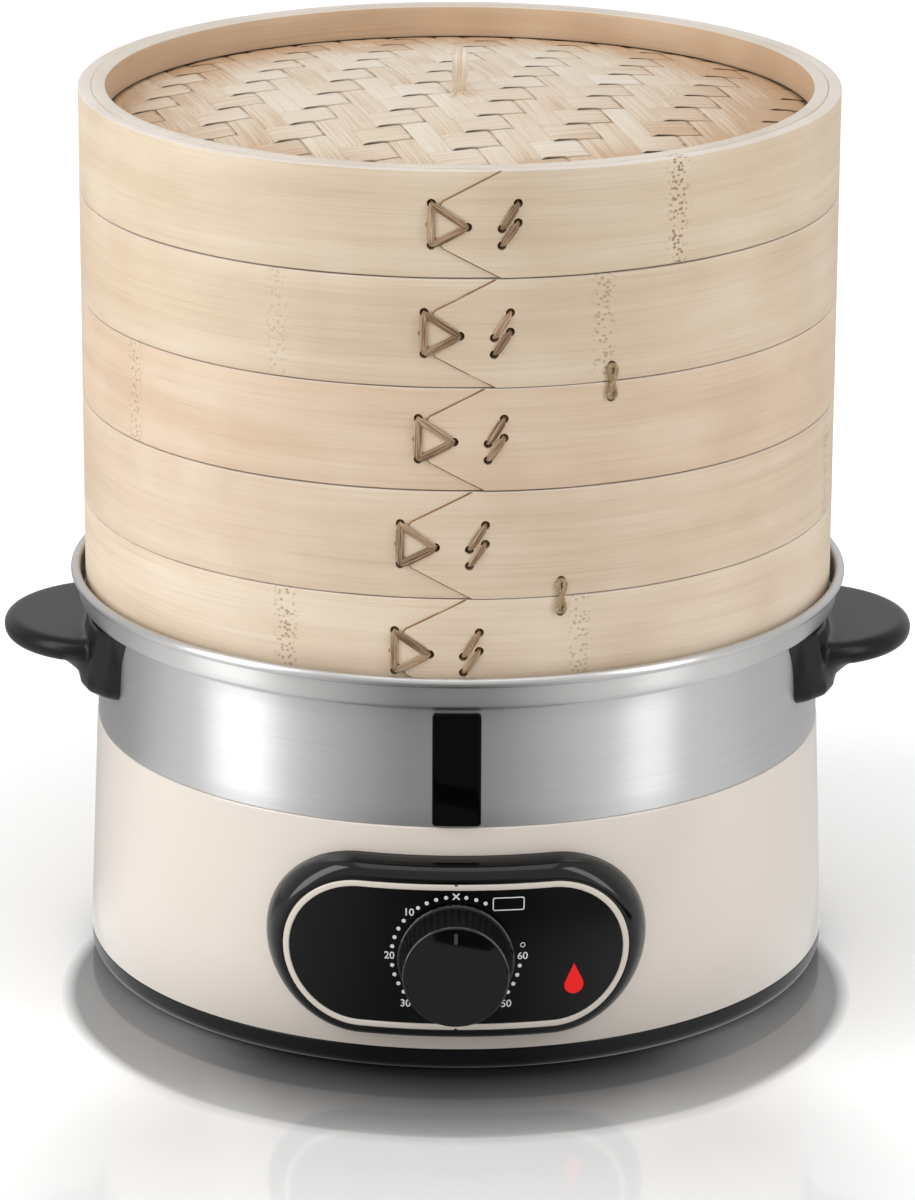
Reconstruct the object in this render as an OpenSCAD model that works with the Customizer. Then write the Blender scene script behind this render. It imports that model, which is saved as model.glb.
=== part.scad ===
// Electric food steamer. A round base holds a heated steel water pot and a knob timer.
// Two bamboo baskets and a woven bamboo lid stack on the pot and lift off one by one.
// The origin is on the pot's axis, on the surface that the foot stands on; the front is -Y.

/* [Bamboo rings] */
// Outer radius of the bamboo rings
ring_r = 150; // [130:1:175]
// Thickness of an outer band, two turns of split bamboo
band_t = 5.2; // [4:0.1:7]
// Thickness of an inner hoop
hoop_t = 5.3; // [4:0.1:7]
// Radial gap where one ring nests in the next
nest_gap = 0.3; // [0.2:0.05:0.8]
// Gap left under each piece of the stack
stack_gap = 0.2; // [0.1:0.05:0.5]
// How far an inner hoop stands up into the piece above
nest_h = 8; // [5:0.5:12]
// Height of the lower basket's bottom band
lower_bottom_h = 42.4; // [34:0.2:55]
// Height of the lower basket's top band
lower_top_h = 42.4; // [34:0.2:55]
// Height of the upper basket's bottom band
upper_bottom_h = 40; // [34:0.2:55]
// Height of the upper basket's top band
upper_top_h = 42; // [34:0.2:55]
// Height of the lid's band
lid_h = 41; // [36:0.5:60]

/* [Basket floor] */
// Width of a floor slat
slat_w = 14; // [10:0.5:18]
// Gap between two slats
slat_gap = 5.5; // [3:0.5:8]
// Thickness of a slat
slat_t = 2.8; // [2:0.1:4]
// Width of the rails under the slats
rail_w = 12; // [8:0.5:16]
// Thickness of the rails
rail_t = 6; // [4:0.5:8]
// Distance of the outer rails from the middle one
rail_pitch = 78; // [60:1:90]

/* [Lid] */
// Depth of the woven top's edge below the rim
mat_depth = 12.8; // [9:0.2:14]
// Thickness of the woven top
mat_t = 2.6; // [1.6:0.1:3.4]
// Rise of the woven top at its middle
mat_rise = 10; // [4:0.5:14]
// Width of the lifting loop's strip
loop_w = 6.2; // [4:0.2:10]
// Thickness of the loop's strip
loop_t = 0.9; // [0.6:0.1:1.4]
// Height of the loop over the woven top
loop_h = 16; // [12:0.5:24]
// Distance between the loop's legs
loop_span = 15; // [10:0.5:24]

/* [Lacing] */
// Radius of a lacing hole
lace_hole_r = 1.75; // [1.4:0.05:2.2]
// Radius of the lacing where it goes through a hole
lace_leg_r = 1.3; // [0.8:0.05:1.35]
// Width of a lacing strap
lace_w = 4; // [3:0.2:5]
// Thickness of a lacing strap
lace_t = 0.6; // [0.4:0.1:1]
// Half height of the lacing pattern
lace_rise = 8; // [6:0.2:10]
// Length of the triangle of straps
lace_tri = 13.5; // [10:0.5:16]
// Distance from the triangle's tip to the slanting pair
lace_pair_x = 12.8; // [10:0.2:16]
// Sideways run of a slanting strap
lace_pair_run = 6; // [4:0.5:9]
// Angle of the lid's lap, from the front towards +X
lid_lap_a = 1.2; // [-20:0.1:20]
// Angle of the upper basket's top lap
upper_top_lap_a = 0.2; // [-20:0.1:20]
// Angle of the upper basket's bottom lap
upper_bottom_lap_a = -0.6; // [-20:0.1:20]
// Angle of the lower basket's top lap
lower_top_lap_a = -3.2; // [-20:0.1:20]
// Angle of the lower basket's bottom lap
lower_bottom_lap_a = -4; // [-20:0.1:20]
// Angle of the upper basket's twine tie
upper_tie_a = 22.5; // [16:0.5:60]
// Angle of the lower basket's twine tie
lower_tie_a = 15.1; // [12:0.5:60]
// Height of a twine tie
tie_h = 17; // [12:0.5:20]
// Width of a twine tie
tie_w = 4.6; // [3:0.2:6]
// Thickness of a tie outside the bands
tie_t = 1.6; // [1:0.1:2.4]

/* [Water pot] */
// Radial gap between a ring and the pot's collar
collar_gap = 1.8; // [1:0.1:3]
// Thickness of the pot's sheet steel
pot_t = 0.8; // [0.6:0.1:1.2]
// Width of the ledge that the lower basket stands on
ledge_w = 7.1; // [5:0.1:9]
// Height of the collar over the ledge
collar_h = 12.6; // [8:0.2:20]
// Radius of the rolled rim
bead_r = 2; // [1.4:0.1:2.4]
// Height of the bright band, from the painted shell to the ledge's flare
steel_h = 48.2; // [42:0.2:70]
// Rise of the flare under the ledge
flare_h = 2.3; // [1.8:0.1:4]
// Depth of the pot's floor below the painted shell's top
floor_drop = 16.5; // [10:0.5:20]
// Radius of the pot's bottom corner
pot_corner_r = 12; // [6:1:14]
// Step where the pot enters the shell
neck_step = 0.8; // [0.6:0.1:1.4]

/* [Window] */
// Width of the water window
window_w = 18.7; // [12:0.1:30]
// Height of the water window
window_h = 45.4; // [20:0.2:46]
// How far the window sits below the middle of the steel
window_low = 0.4; // [0:0.1:0.8]
// Overlap of the window on the steel
window_lap = 1.6; // [1:0.1:3]
// Thickness of the window's flange
window_t = 1.4; // [1:0.1:2.4]
// Thickness of the window's gasket
gasket_t = 0.6; // [0.4:0.1:1]

/* [Shell and tray] */
// Height of the base tray
tray_h = 10.5; // [8:0.5:16]
// Height of the painted shell
shell_h = 90; // [88:1:120]
// How much wider the shell is at its bottom
shell_flare = 3.6; // [1:0.2:8]
// Thickness of the shell
shell_t = 0.8; // [0.6:0.1:1.2]
// How far the shell stands proud of the steel band
shell_proud = 0.4; // [0.2:0.1:0.6]
// Thickness of the tray's floor
tray_t = 2.4; // [2:0.1:3.4]
// Thickness of the tray's rim
tray_wall = 2.6; // [2:0.1:4]
// Radius of the tray's lower edge
tray_edge_r = 5; // [3:0.5:7]
// Height of the tray's lip inside the shell
tray_lip = 6; // [3:0.5:8]
// How far the foot stands below the tray
foot_proud = 1.2; // [0.8:0.1:3]
// Middle radius of the foot ring
foot_r = 123; // [110:1:130]
// Width of the foot ring
foot_w = 10; // [6:0.5:14]
// Depth of the foot's groove
foot_groove = 2; // [1.4:0.1:3]
// Distance of the vent slots from the axis
vent_r = 58; // [48:1:70]
// Number of vent slots in the tray
vent_count = 12; // [6:1:18]
// Length of a vent slot
vent_len = 22; // [12:1:28]
// Width of a vent slot
vent_w = 3; // [2:0.5:4]

/* [Control panel] */
// Width of the bright trim
panel_w = 133.6; // [120:0.2:150]
// Height of the bright trim
panel_h = 59.7; // [56:0.1:64]
// Height of the dial's middle over the table
dial_z = 51.5; // [46:0.5:56]
// How far the panel's face stands out of the shell
panel_proud = 9.2; // [7:0.2:14]
// Spread of the boss where it meets the shell
boss_flare = 8; // [3:0.5:11]
// How far the boss spreads beyond the panel below it
boss_flare_low = 4.6; // [3:0.1:11]
// Width of the flat edge round the trim
boss_edge = 1.5; // [1:0.1:3]
// Depth of the recess that holds the trim and panel
panel_depth = 3.2; // [2.4:0.1:4]
// Width of the bright trim's section
trim_w = 2.4; // [1.6:0.1:3.4]
// How far the trim stands out of the panel
trim_proud = 0.5; // [0.2:0.1:1]
// Thickness of the panel's plate
plate_t = 2.8; // [2:0.1:3]
// Distance of the indicator drop from the trim's end
drop_in = 21.3; // [18:0.1:28]
// Height of the drop's round end below the dial's middle
drop_dz = 13.4; // [6:0.2:16]
// Radius of the drop's round end
drop_r = 3.7; // [2.5:0.1:5]
// Height of the drop from end to point
drop_h = 12.5; // [9:0.5:16]

/* [Knob and timer] */
// Radius of the knob's skirt
skirt_r = 22.5; // [20:0.5:24]
// Radius of the knob's face
face_r = 20.5; // [16:0.5:22]
// Depth of the knob
knob_d = 19.6; // [14:0.2:24]
// Thickness of the knob's skirt
skirt_t = 2.4; // [1.6:0.1:4]
// Gap between the knob and the panel
knob_gap = 1; // [0.6:0.1:2]
// Number of grooves in the knob's grip
knurl_count = 48; // [24:1:72]
// Radius of a groove
knurl_r = 0.8; // [0.6:0.05:1]
// Radius of the timer's shaft
shaft_r = 3; // [2.5:0.1:3.5]
// Running clearance of the shaft
shaft_gap = 0.05; // [0.02:0.01:0.1]
// Width of the timer's case
timer_w = 52; // [44:1:56]
// Height of the timer's case
timer_h = 50; // [44:1:52]
// Depth of the timer's case
timer_d = 28; // [24:1:32]
// Wall of the timer's case
timer_t = 1.5; // [1:0.1:2.5]
// Radius of the timer's bell
bell_r = 19; // [14:0.5:22]
// Depth of the timer's bell
bell_d = 7; // [5:0.5:9]
// Distance of the timer's screws from the shaft
timer_screw_x = 14; // [10:0.5:18]

/* [Handles] */
// Reach of a handle from the steel band
handle_reach = 37.8; // [28:0.2:45]
// Half width of the handle's wing at the pot
wing_b = 44; // [34:1:52]
// How far inside the steel the wing's oval is centred
wing_in = 5.5; // [3:0.5:9]
// Thickness of the wing
wing_t = 9.5; // [7:0.5:13]
// Height of the wing's top under the flare
wing_drop = 9.7; // [6:0.1:16]
// Rounding of the wing's edge
wing_edge = 3.2; // [2:0.1:3.4]
// Half width of the handle's block
block_b = 64; // [50:1:70]
// Thickness of the block at its middle
block_t = 6.8; // [5:0.2:10]
// Height of the block
block_h = 26.4; // [24:0.2:34]
// Corner radius of the block
block_corner = 13; // [6:1:15]
// Angle between a handle's screw and its middle
handle_screw_a = 7.2; // [4:0.2:12]
// How far a handle's screws reach into it
handle_screw_l = 16; // [12:0.5:20]

/* [Heater] */
// Radius of the cast heating plate
plate_r = 76; // [60:1:80]
// Thickness of the heating plate
heat_t = 8; // [6:0.5:10]
// Radius of the element's ring
element_ring_r = 52; // [42:1:60]
// Radius of the element's tube
element_r = 4; // [3:0.1:4.5]
// Radius of the heat shield
shield_r = 82; // [78:1:86]
// Drop of the heat shield under the plate
shield_drop = 18; // [16:0.5:22]
// Distance of the tie rods from the axis
rod_ring_r = 92; // [88:1:100]
// Radius of a tie rod
rod_r = 4; // [3.4:0.1:5]
// Radius of the tray's boss under a tie rod
rod_boss_r = 7; // [6:0.5:9]
// Height of that boss over the tray's floor
rod_boss_h = 9; // [6:0.5:14]
// Sideways place of the thermostat
thermostat_x = 26; // [22:1:30]
// Place of the thermostat towards the back
thermostat_y = -16; // [-20:1:-12]
// Sideways place of the thermal fuse
fuse_x = -24; // [-28:1:-20]
// Place of the thermal fuse towards the back
fuse_y = 14; // [10:1:18]

/* [Inlet] */
// Height of the inlet's middle over the table
inlet_z = 45; // [36:0.5:60]
// Width of the inlet's flange
inlet_w = 50; // [46:1:56]
// Height of the inlet's flange
inlet_h = 28; // [26:0.5:34]
// Width of the inlet's body
inlet_body_w = 27; // [26:0.5:30]
// Height of the inlet's body
inlet_body_h = 20; // [19.5:0.5:24]
// Depth of the inlet's body behind the flange
inlet_body_d = 24; // [20:0.5:30]
// Distance of the inlet's screws from its middle
inlet_screw_x = 20; // [19:0.5:21]
// Width of a contact pin
pin_w = 4; // [3:0.5:5]
// Thickness of a contact pin
pin_t = 2; // [1.5:0.5:2.5]

/* [Hidden] */
FN = 96;
FN_SMALL = 32;
EPS = 0.02;
// Reach of a cut through the front or back wall, from well inside to well outside
CUT_Y0 = 60;
CUT_Y1 = 200;

// Clearance between pieces that are pressed or laid together
seat = 0.1;
// Clearance of a screw's shank in a hole
shank_gap = 0.2;
// Clearance of a thread drawn as a plain pin
thread_gap = 0.05;
m4_r = 2;
m4_head_r = 3.8;
m4_head_h = 2.4;
m3_r = 1.5;
m3_head_r = 2.8;
m3_head_h = 1.8;

// Depth of the recess for a screw head in the tray
head_recess = 3.2;

// Heights of the base, from the table up
seat_z = tray_h + shell_h;
flare_z = seat_z + steel_h;
ledge_z = flare_z + flare_h;
rim_z = ledge_z + collar_h;
pot_floor_z = seat_z - floor_drop;

// Radii of the pot, shell and tray
collar_ri = ring_r + collar_gap;
collar_ro = collar_ri + pot_t;
steel_r = collar_ro - ledge_w;
neck_r = steel_r - neck_step;
pot_ri = neck_r - pot_t;
shell_top_r = steel_r + shell_proud;
shell_bottom_r = shell_top_r + shell_flare;
tray_r = shell_bottom_r - 0.3;

function shell_r(z) = shell_bottom_r - shell_flare * (z - tray_h) / shell_h;

// Heights of the stack
lower_z = ledge_z + stack_gap;
lower_split_z = lower_z + lower_bottom_h;
lower_end_z = lower_split_z + lower_top_h;
upper_z = lower_end_z + stack_gap;
upper_split_z = upper_z + upper_bottom_h;
upper_end_z = upper_split_z + upper_top_h;
lid_z = upper_end_z + stack_gap;
lid_end_z = lid_z + lid_h;

// Radii of the bamboo rings
band_ri = ring_r - band_t;
hoop_ro = band_ri - nest_gap;
hoop_ri = hoop_ro - hoop_t;
// Height of an inner hoop's lower edge over its band's lower edge
hoop_lift = nest_h + 0.4;

// Woven top and lifting loop
mat_top_z = lid_end_z - mat_depth;
mat_low_z = mat_top_z - mat_t;
mat_edge_r = hoop_ro - 0.2;
mat_curve_r = (hoop_ri * hoop_ri + mat_rise * mat_rise) / (2 * mat_rise);
mat_half_a = asin(hoop_ri / mat_curve_r);
mat_arc_steps = 14;
loop_top_z = mat_top_z + mat_rise + loop_h;
loop_low_z = mat_low_z + mat_rise - 2.2;

// Rails under the slats
rail_ends_r = band_ri - 0.5;

// Water window
window_z = seat_z + steel_h / 2 - window_low;

// Control panel, along the front
panel_r = shell_r(dial_z) + panel_proud;
recess_r = panel_r - panel_depth;
plate_face_r = recess_r + seat + plate_t;
trim_face_r = plate_face_r + trim_proud;
plug_w = timer_w + 8;
plug_h = timer_h + 4;
timer_y = sqrt(pow(shell_r(dial_z - plug_h / 2), 2) - pow(plug_w / 2, 2)) - 1.6;
timer_front_y = timer_y - seat;
timer_back_y = timer_front_y - timer_d;
timer_head_y = timer_y + 4;
drop_x = panel_w / 2 - drop_in;
drop_z = dial_z - drop_dz;
lamp_r = 2.2;
bezel_screw_x = plug_w / 2 + 9;
// How far the recess's floor runs into the boss's wall
boss_root = 0.8;
boss_end_steps = 24;
boss_side_steps = 12;

// Knob, along -Y
knob_y0 = plate_face_r + knob_gap;
knob_y1 = knob_y0 + knob_d;
shaft_end_y = knob_y1 - 5;

// Handle
wing_top_z = flare_z - wing_drop;
wing_x = steel_r - wing_in;
wing_a = handle_reach + wing_in;
handle_screw_z = wing_top_z - wing_t / 2;
block_z = flare_z - 0.4 - block_h;

// Heater, hanging from the pot's floor
plate_z = pot_floor_z - heat_t;
shield_z = plate_z - shield_drop;
stud_r = 4;
element_gap_a = 24;
element_leg_a = element_gap_a / 2 + 5;
element_leg_r = element_r - 0.8;
element_leg_h = 24;
element_tail_h = 6;
rod_angles = [60, 180, 300];
boss_top_z = foot_proud + tray_t + rod_boss_h;

// Inlet, at the back
inlet_face_y = shell_r(inlet_z - inlet_h / 2) + 2.6;
inlet_tail_y = inlet_face_y - 2 - inlet_body_d - 8;
inlet_pin_places = [[-7, -3], [7, -3], [0, 3.5]];

// Free wires inside the base
wire_r = 1.3;
wire_sides = 6;
// Gap between a wire's end and what it is joined to
wire_gap = 0.4;

// ---------- shared shapes ----------

// A straight ring about the axis
module ring(ri, ro, z0, z1) {
    rotate_extrude($fn = FN) translate([ri, z0]) square([ro - ri, z1 - z0]);
}

// A pin that points away from the axis, at angle a from the front
module radial_pin(a, z, r, r0, r1) {
    rotate([0, 0, a]) translate([0, -r0, z]) rotate([90, 0, 0])
        cylinder(r = r, h = r1 - r0, $fn = FN_SMALL);
}

// A pin along -Y from y0 to y1, both counted towards the front
module front_pin(x, z, r, y0, y1, fn = FN_SMALL) {
    translate([x, -y0, z]) rotate([90, 0, 0]) cylinder(r = r, h = y1 - y0, $fn = fn);
}

// Bring a drawing made in X and Z to the front, from y0 to y1
module front_extrude(y0, y1) {
    translate([0, -y0, 0]) rotate([90, 0, 0]) linear_extrude(y1 - y0) children();
}

module stadium(w, h) {
    square([w - h, h], center = true);
    for (s = [-1, 1]) translate([s * (w - h) / 2, 0]) circle(d = h, $fn = FN);
}

module round_rect(w, h, r) {
    square([w - 2 * r, h], center = true);
    square([w, h - 2 * r], center = true);
    for (x = [-1, 1], y = [-1, 1])
        translate([x * (w / 2 - r), y * (h / 2 - r)]) circle(r = r, $fn = FN_SMALL);
}

function arc(cx, cy, r, a0, a1, n) =
    [for (i = [0:n]) let (a = a0 + (a1 - a0) * i / n) [cx + r * cos(a), cy + r * sin(a)]];

// ---------- bamboo rings ----------

// The lacing holes as [length along the ring from the lap's tip, height over the band's middle]
lace_triangle = [[0, -0.8], [-lace_tri, lace_rise], [-lace_tri, -lace_rise]];
lace_pairs = [
    [[lace_pair_x + lace_pair_run, lace_rise], [lace_pair_x, -1.6]],
    [[lace_pair_x + lace_pair_run, 0.6], [lace_pair_x, -lace_rise]]];
lace_holes = concat(lace_triangle, lace_pairs[0], lace_pairs[1]);

function along(s) = s / ring_r * 180 / PI;

module lace_drill(lap_a, mid_z) {
    for (p = lace_holes)
        radial_pin(lap_a + along(p[0]), mid_z + p[1], lace_hole_r, band_ri - 3, ring_r + 3);
}

module tie_drill(tie_a, z) {
    radial_pin(tie_a, z, lace_hole_r, band_ri - 3, ring_r + 3);
}

// One strap between two holes, lying on the band, with a leg through each hole
module strap(lap_a, mid_z, p, q) {
    run = q[0] - p[0];
    rise = q[1] - p[1];
    mid_a = lap_a + along((p[0] + q[0]) / 2);
    length = sqrt(run * run + rise * rise) + lace_w * 0.7;
    intersection() {
        ring(ring_r + 0.05, ring_r + 0.05 + lace_t, mid_z - 14, mid_z + 14);
        rotate([0, 0, mid_a]) translate([0, -ring_r, mid_z + (p[1] + q[1]) / 2])
            rotate([0, -atan2(rise, run), 0]) cube([length, 8, lace_w], center = true);
    }
    for (e = [p, q])
        radial_pin(lap_a + along(e[0]), mid_z + e[1], lace_leg_r, band_ri + seat, ring_r + lace_t / 2);
}

module lacing(lap_a, mid_z) {
    for (i = [0:2]) strap(lap_a, mid_z, lace_triangle[i], lace_triangle[(i + 1) % 3]);
    for (pair = lace_pairs) strap(lap_a, mid_z, pair[0], pair[1]);
}

module band(z0, z1, lap_a) {
    difference() {
        ring(band_ri, ring_r, z0, z1);
        lace_drill(lap_a, (z0 + z1) / 2);
    }
}

// A twine tie over the seam between a basket's two bands
module tie(tie_a, seam_z) {
    reach = tie_h / 2 - tie_w / 2;
    intersection() {
        ring(ring_r + 0.05, ring_r + tie_t, seam_z - tie_h, seam_z + tie_h);
        rotate([0, 0, tie_a]) translate([0, 0, seam_z]) front_extrude(ring_r - 5, ring_r + 5)
            rotate(90) difference() {
                stadium(tie_h, tie_w);
                stadium(tie_h - 3.4, tie_w - 3.4);
            }
    }
    for (s = [-1, 1])
        radial_pin(tie_a, seam_z + s * reach, lace_leg_r, band_ri + seat, ring_r + tie_t / 2);
}

// ---------- basket ----------

module rail_notch(z, grow) {
    for (y = [-rail_pitch, 0, rail_pitch])
        translate([-ring_r, y - rail_w / 2 - grow, z]) cube([2 * ring_r, rail_w + 2 * grow, rail_t + grow]);
}

module basket_hoop(z0, z1) {
    difference() {
        ring(hoop_ri, hoop_ro, z0 + hoop_lift, z1 + nest_h);
        translate([0, 0, -EPS]) rail_notch(z0 + hoop_lift, seat);
    }
}

module basket_rails(z0) {
    intersection() {
        rail_notch(z0 + hoop_lift, 0);
        cylinder(r = rail_ends_r, h = 1000, $fn = FN);
    }
}

module basket_slats(z0) {
    pitch = slat_w + slat_gap;
    count = floor((hoop_ri - slat_w / 2) / pitch);
    intersection() {
        for (i = [-count:count])
            translate([i * pitch - slat_w / 2, -ring_r, z0 + hoop_lift + rail_t])
                cube([slat_w, 2 * ring_r, slat_t]);
        cylinder(r = hoop_ri - seat, h = 1000, $fn = FN);
    }
}

module lower_basket_bottom_band() {
    color("burlywood") difference() {
        band(lower_z, lower_split_z, lower_bottom_lap_a);
        tie_drill(lower_tie_a, lower_split_z - tie_h / 2 + tie_w / 2);
    }
}

module lower_basket_top_band() {
    color("wheat") difference() {
        band(lower_split_z, lower_end_z, lower_top_lap_a);
        tie_drill(lower_tie_a, lower_split_z + tie_h / 2 - tie_w / 2);
    }
}

module lower_basket_hoop() {
    color("tan") basket_hoop(lower_z, lower_end_z);
}

module lower_basket_slats() {
    color("wheat") basket_slats(lower_z);
}

module lower_basket_rails() {
    color("tan") basket_rails(lower_z);
}

module lower_basket_lacing() {
    color("sienna") {
        lacing(lower_bottom_lap_a, (lower_z + lower_split_z) / 2);
        lacing(lower_top_lap_a, (lower_split_z + lower_end_z) / 2);
    }
}

module lower_basket_tie() {
    color("peru") tie(lower_tie_a, lower_split_z);
}

module upper_basket_bottom_band() {
    color("burlywood") difference() {
        band(upper_z, upper_split_z, upper_bottom_lap_a);
        tie_drill(upper_tie_a, upper_split_z - tie_h / 2 + tie_w / 2);
    }
}

module upper_basket_top_band() {
    color("wheat") difference() {
        band(upper_split_z, upper_end_z, upper_top_lap_a);
        tie_drill(upper_tie_a, upper_split_z + tie_h / 2 - tie_w / 2);
    }
}

module upper_basket_hoop() {
    color("tan") basket_hoop(upper_z, upper_end_z);
}

module upper_basket_slats() {
    color("wheat") basket_slats(upper_z);
}

module upper_basket_rails() {
    color("tan") basket_rails(upper_z);
}

module upper_basket_lacing() {
    color("sienna") {
        lacing(upper_bottom_lap_a, (upper_z + upper_split_z) / 2);
        lacing(upper_top_lap_a, (upper_split_z + upper_end_z) / 2);
    }
}

module upper_basket_tie() {
    color("peru") tie(upper_tie_a, upper_split_z);
}

// ---------- lid ----------

module lid_band() {
    color("wheat") band(lid_z, lid_end_z, lid_lap_a);
}

// The lower inner hoop, which the woven top lies on
module lid_hoop() {
    color("tan") ring(hoop_ri, hoop_ro, lid_z + hoop_lift, mat_low_z - seat);
}

// The upper inner hoop, which holds the woven top down
module lid_rim_hoop() {
    color("burlywood") ring(hoop_ri, hoop_ro, mat_top_z + seat, lid_end_z);
}

module lid_mat() {
    dome_z = mat_top_z + mat_rise - mat_curve_r;
    color("wheat") difference() {
        rotate_extrude($fn = FN) polygon(concat(
            [[mat_edge_r, mat_low_z], [mat_edge_r, mat_top_z]],
            arc(0, dome_z, mat_curve_r, 90 - mat_half_a, 90, mat_arc_steps),
            arc(0, dome_z - mat_t, mat_curve_r, 90, 90 - mat_half_a, mat_arc_steps)));
        loop_ring(0.3);
    }
}

// The loop's closed strip, grown by grow all round
module loop_ring(grow) {
    h = loop_top_z - loop_low_z;
    inset = 2 * loop_t + 2 * grow;
    translate([-loop_w / 2 - grow, 0, (loop_top_z + loop_low_z) / 2])
        rotate([90, 0, 90]) linear_extrude(loop_w + 2 * grow) rotate(90) difference() {
            stadium(h + 2 * grow, loop_span + 2 * grow);
            stadium(h - inset, loop_span - inset);
        }
}

// A closed loop of split bamboo through two slots in the woven top
module lid_loop() {
    color("cornsilk") loop_ring(0);
}

module lid_lacing() {
    color("sienna") lacing(lid_lap_a, (lid_z + lid_end_z) / 2);
}

// ---------- base ----------

module rod_places() {
    for (a = rod_angles) rotate([0, 0, a]) translate([rod_ring_r, 0, 0]) children();
}

module base_tray() {
    floor_z = foot_proud + tray_t;
    groove_r0 = foot_r - foot_w / 2 - seat;
    groove_r1 = foot_r + foot_w / 2 + seat;
    lip_ro = shell_r(tray_h + tray_lip) - shell_t - 0.2;
    color([0.07, 0.07, 0.08]) difference() {
        union() {
            rotate_extrude($fn = FN) polygon(concat(
                [[0, foot_proud]],
                arc(tray_r - tray_edge_r, foot_proud + tray_edge_r, tray_edge_r, -90, 0, 6),
                [[tray_r, tray_h], [lip_ro, tray_h], [lip_ro, tray_h + tray_lip],
                [lip_ro - 1.8, tray_h + tray_lip], [tray_r - tray_wall - 2, tray_h - 2],
                [tray_r - tray_wall - 3, floor_z], [0, floor_z]]));
            ring(groove_r0 - 2.4, groove_r1 + 2.4, foot_proud + 0.5, foot_proud + foot_groove + tray_t);
            rod_places() translate([0, 0, foot_proud])
                cylinder(r = rod_boss_r, h = boss_top_z - foot_proud, $fn = FN_SMALL);
        }
        ring(groove_r0, groove_r1, -1, foot_proud + foot_groove);
        rod_places() {
            translate([0, 0, -1]) cylinder(r = m4_r + shank_gap, h = 40, $fn = FN_SMALL);
            translate([0, 0, -1])
                cylinder(r = m4_head_r + 0.4, h = 1 + foot_proud + head_recess, $fn = FN_SMALL);
        }
        for (i = [0:vent_count - 1]) rotate([0, 0, (i + 0.5) * 360 / vent_count])
            translate([vent_r, 0, -1]) linear_extrude(foot_proud + tray_t + 2) stadium(vent_len, vent_w);
    }
}

module foot_ring() {
    color([0.12, 0.12, 0.12])
        ring(foot_r - foot_w / 2, foot_r + foot_w / 2, 0, foot_proud + foot_groove - 0.05);
}

module tray_screws() {
    head_z = foot_proud + head_recess;
    color("silver") rod_places() {
        translate([0, 0, head_z - m4_head_h]) cylinder(r = m4_head_r, h = m4_head_h, $fn = FN_SMALL);
        translate([0, 0, head_z - EPS]) cylinder(r = m4_r, h = boss_top_z + 10 - head_z, $fn = FN_SMALL);
    }
}

module outer_shell() {
    color([0.96, 0.92, 0.86]) difference() {
        rotate_extrude($fn = FN) polygon([
            [shell_bottom_r, tray_h], [shell_top_r, seat_z],
            [shell_top_r - shell_t, seat_z], [shell_bottom_r - shell_t, tray_h]]);
        translate([0, 0, dial_z]) front_extrude(CUT_Y0, CUT_Y1) round_rect(plug_w + 0.4, plug_h + 0.4, 5);
        for (s = [-1, 1]) front_pin(s * bezel_screw_x, dial_z, m3_r + shank_gap, CUT_Y0, CUT_Y1);
        front_pin(drop_x, drop_z, lamp_r + 0.4, CUT_Y0, CUT_Y1);
        translate([0, 0, inlet_z]) mirror([0, 1, 0]) front_extrude(CUT_Y0, CUT_Y1)
            round_rect(inlet_body_w + 1, inlet_body_h + 1, 2);
        for (s = [-1, 1]) mirror([0, 1, 0])
            front_pin(s * inlet_screw_x, inlet_z, m3_r + shank_gap, CUT_Y0, CUT_Y1);
    }
}

module water_pot() {
    color("silver") difference() {
        rotate_extrude($fn = FN) {
            polygon(concat(
                [[0, pot_floor_z]],
                arc(neck_r - pot_corner_r, pot_floor_z + pot_corner_r, pot_corner_r, -90, 0, 8),
                [[neck_r, seat_z], [steel_r, seat_z], [steel_r, flare_z],
                [collar_ro - 2.4, ledge_z - pot_t], [collar_ro, ledge_z + 1.2],
                [collar_ro, rim_z - bead_r], [collar_ri, rim_z - bead_r],
                [collar_ri, ledge_z + 0.6], [collar_ri - 0.6, ledge_z],
                [pot_ri + 0.7, ledge_z], [pot_ri, ledge_z - 0.7]],
                arc(neck_r - pot_corner_r, pot_floor_z + pot_corner_r, pot_corner_r - pot_t, 0, -90, 8),
                [[0, pot_floor_z + pot_t]]));
            translate([collar_ri + bead_r, rim_z - bead_r]) circle(r = bead_r, $fn = FN_SMALL);
        }
        translate([0, 0, window_z]) front_extrude(CUT_Y0, CUT_Y1)
            round_rect(window_w - 2 * window_lap, window_h - 2 * window_lap, 1);
        for (side = [-90, 90], s = [-1, 1])
            radial_pin(side + s * handle_screw_a, handle_screw_z, m4_r + shank_gap, pot_ri - 5, steel_r + 5);
    }
}

module window_gasket() {
    color([0.1, 0.1, 0.1]) intersection() {
        ring(steel_r + 0.02, steel_r + 0.02 + gasket_t, seat_z, flare_z);
        translate([0, 0, window_z]) front_extrude(CUT_Y0, CUT_Y1) difference() {
            round_rect(window_w - 0.4, window_h - 0.4, 1.2);
            round_rect(window_w - 2 * window_lap, window_h - 2 * window_lap, 1);
        }
    }
}

module window_lens() {
    face_r = steel_r + 0.04 + gasket_t;
    color([0.05, 0.05, 0.06]) {
        intersection() {
            ring(face_r, face_r + window_t, seat_z, flare_z);
            translate([0, 0, window_z]) front_extrude(CUT_Y0, CUT_Y1) round_rect(window_w, window_h, 1.4);
        }
        intersection() {
            ring(pot_ri - 0.4, face_r + window_t / 2, seat_z, flare_z);
            translate([0, 0, window_z]) front_extrude(CUT_Y0, CUT_Y1)
                round_rect(window_w - 2 * window_lap - 0.4, window_h - 2 * window_lap - 0.4, 0.8);
        }
    }
}

// ---------- control panel ----------

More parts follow.
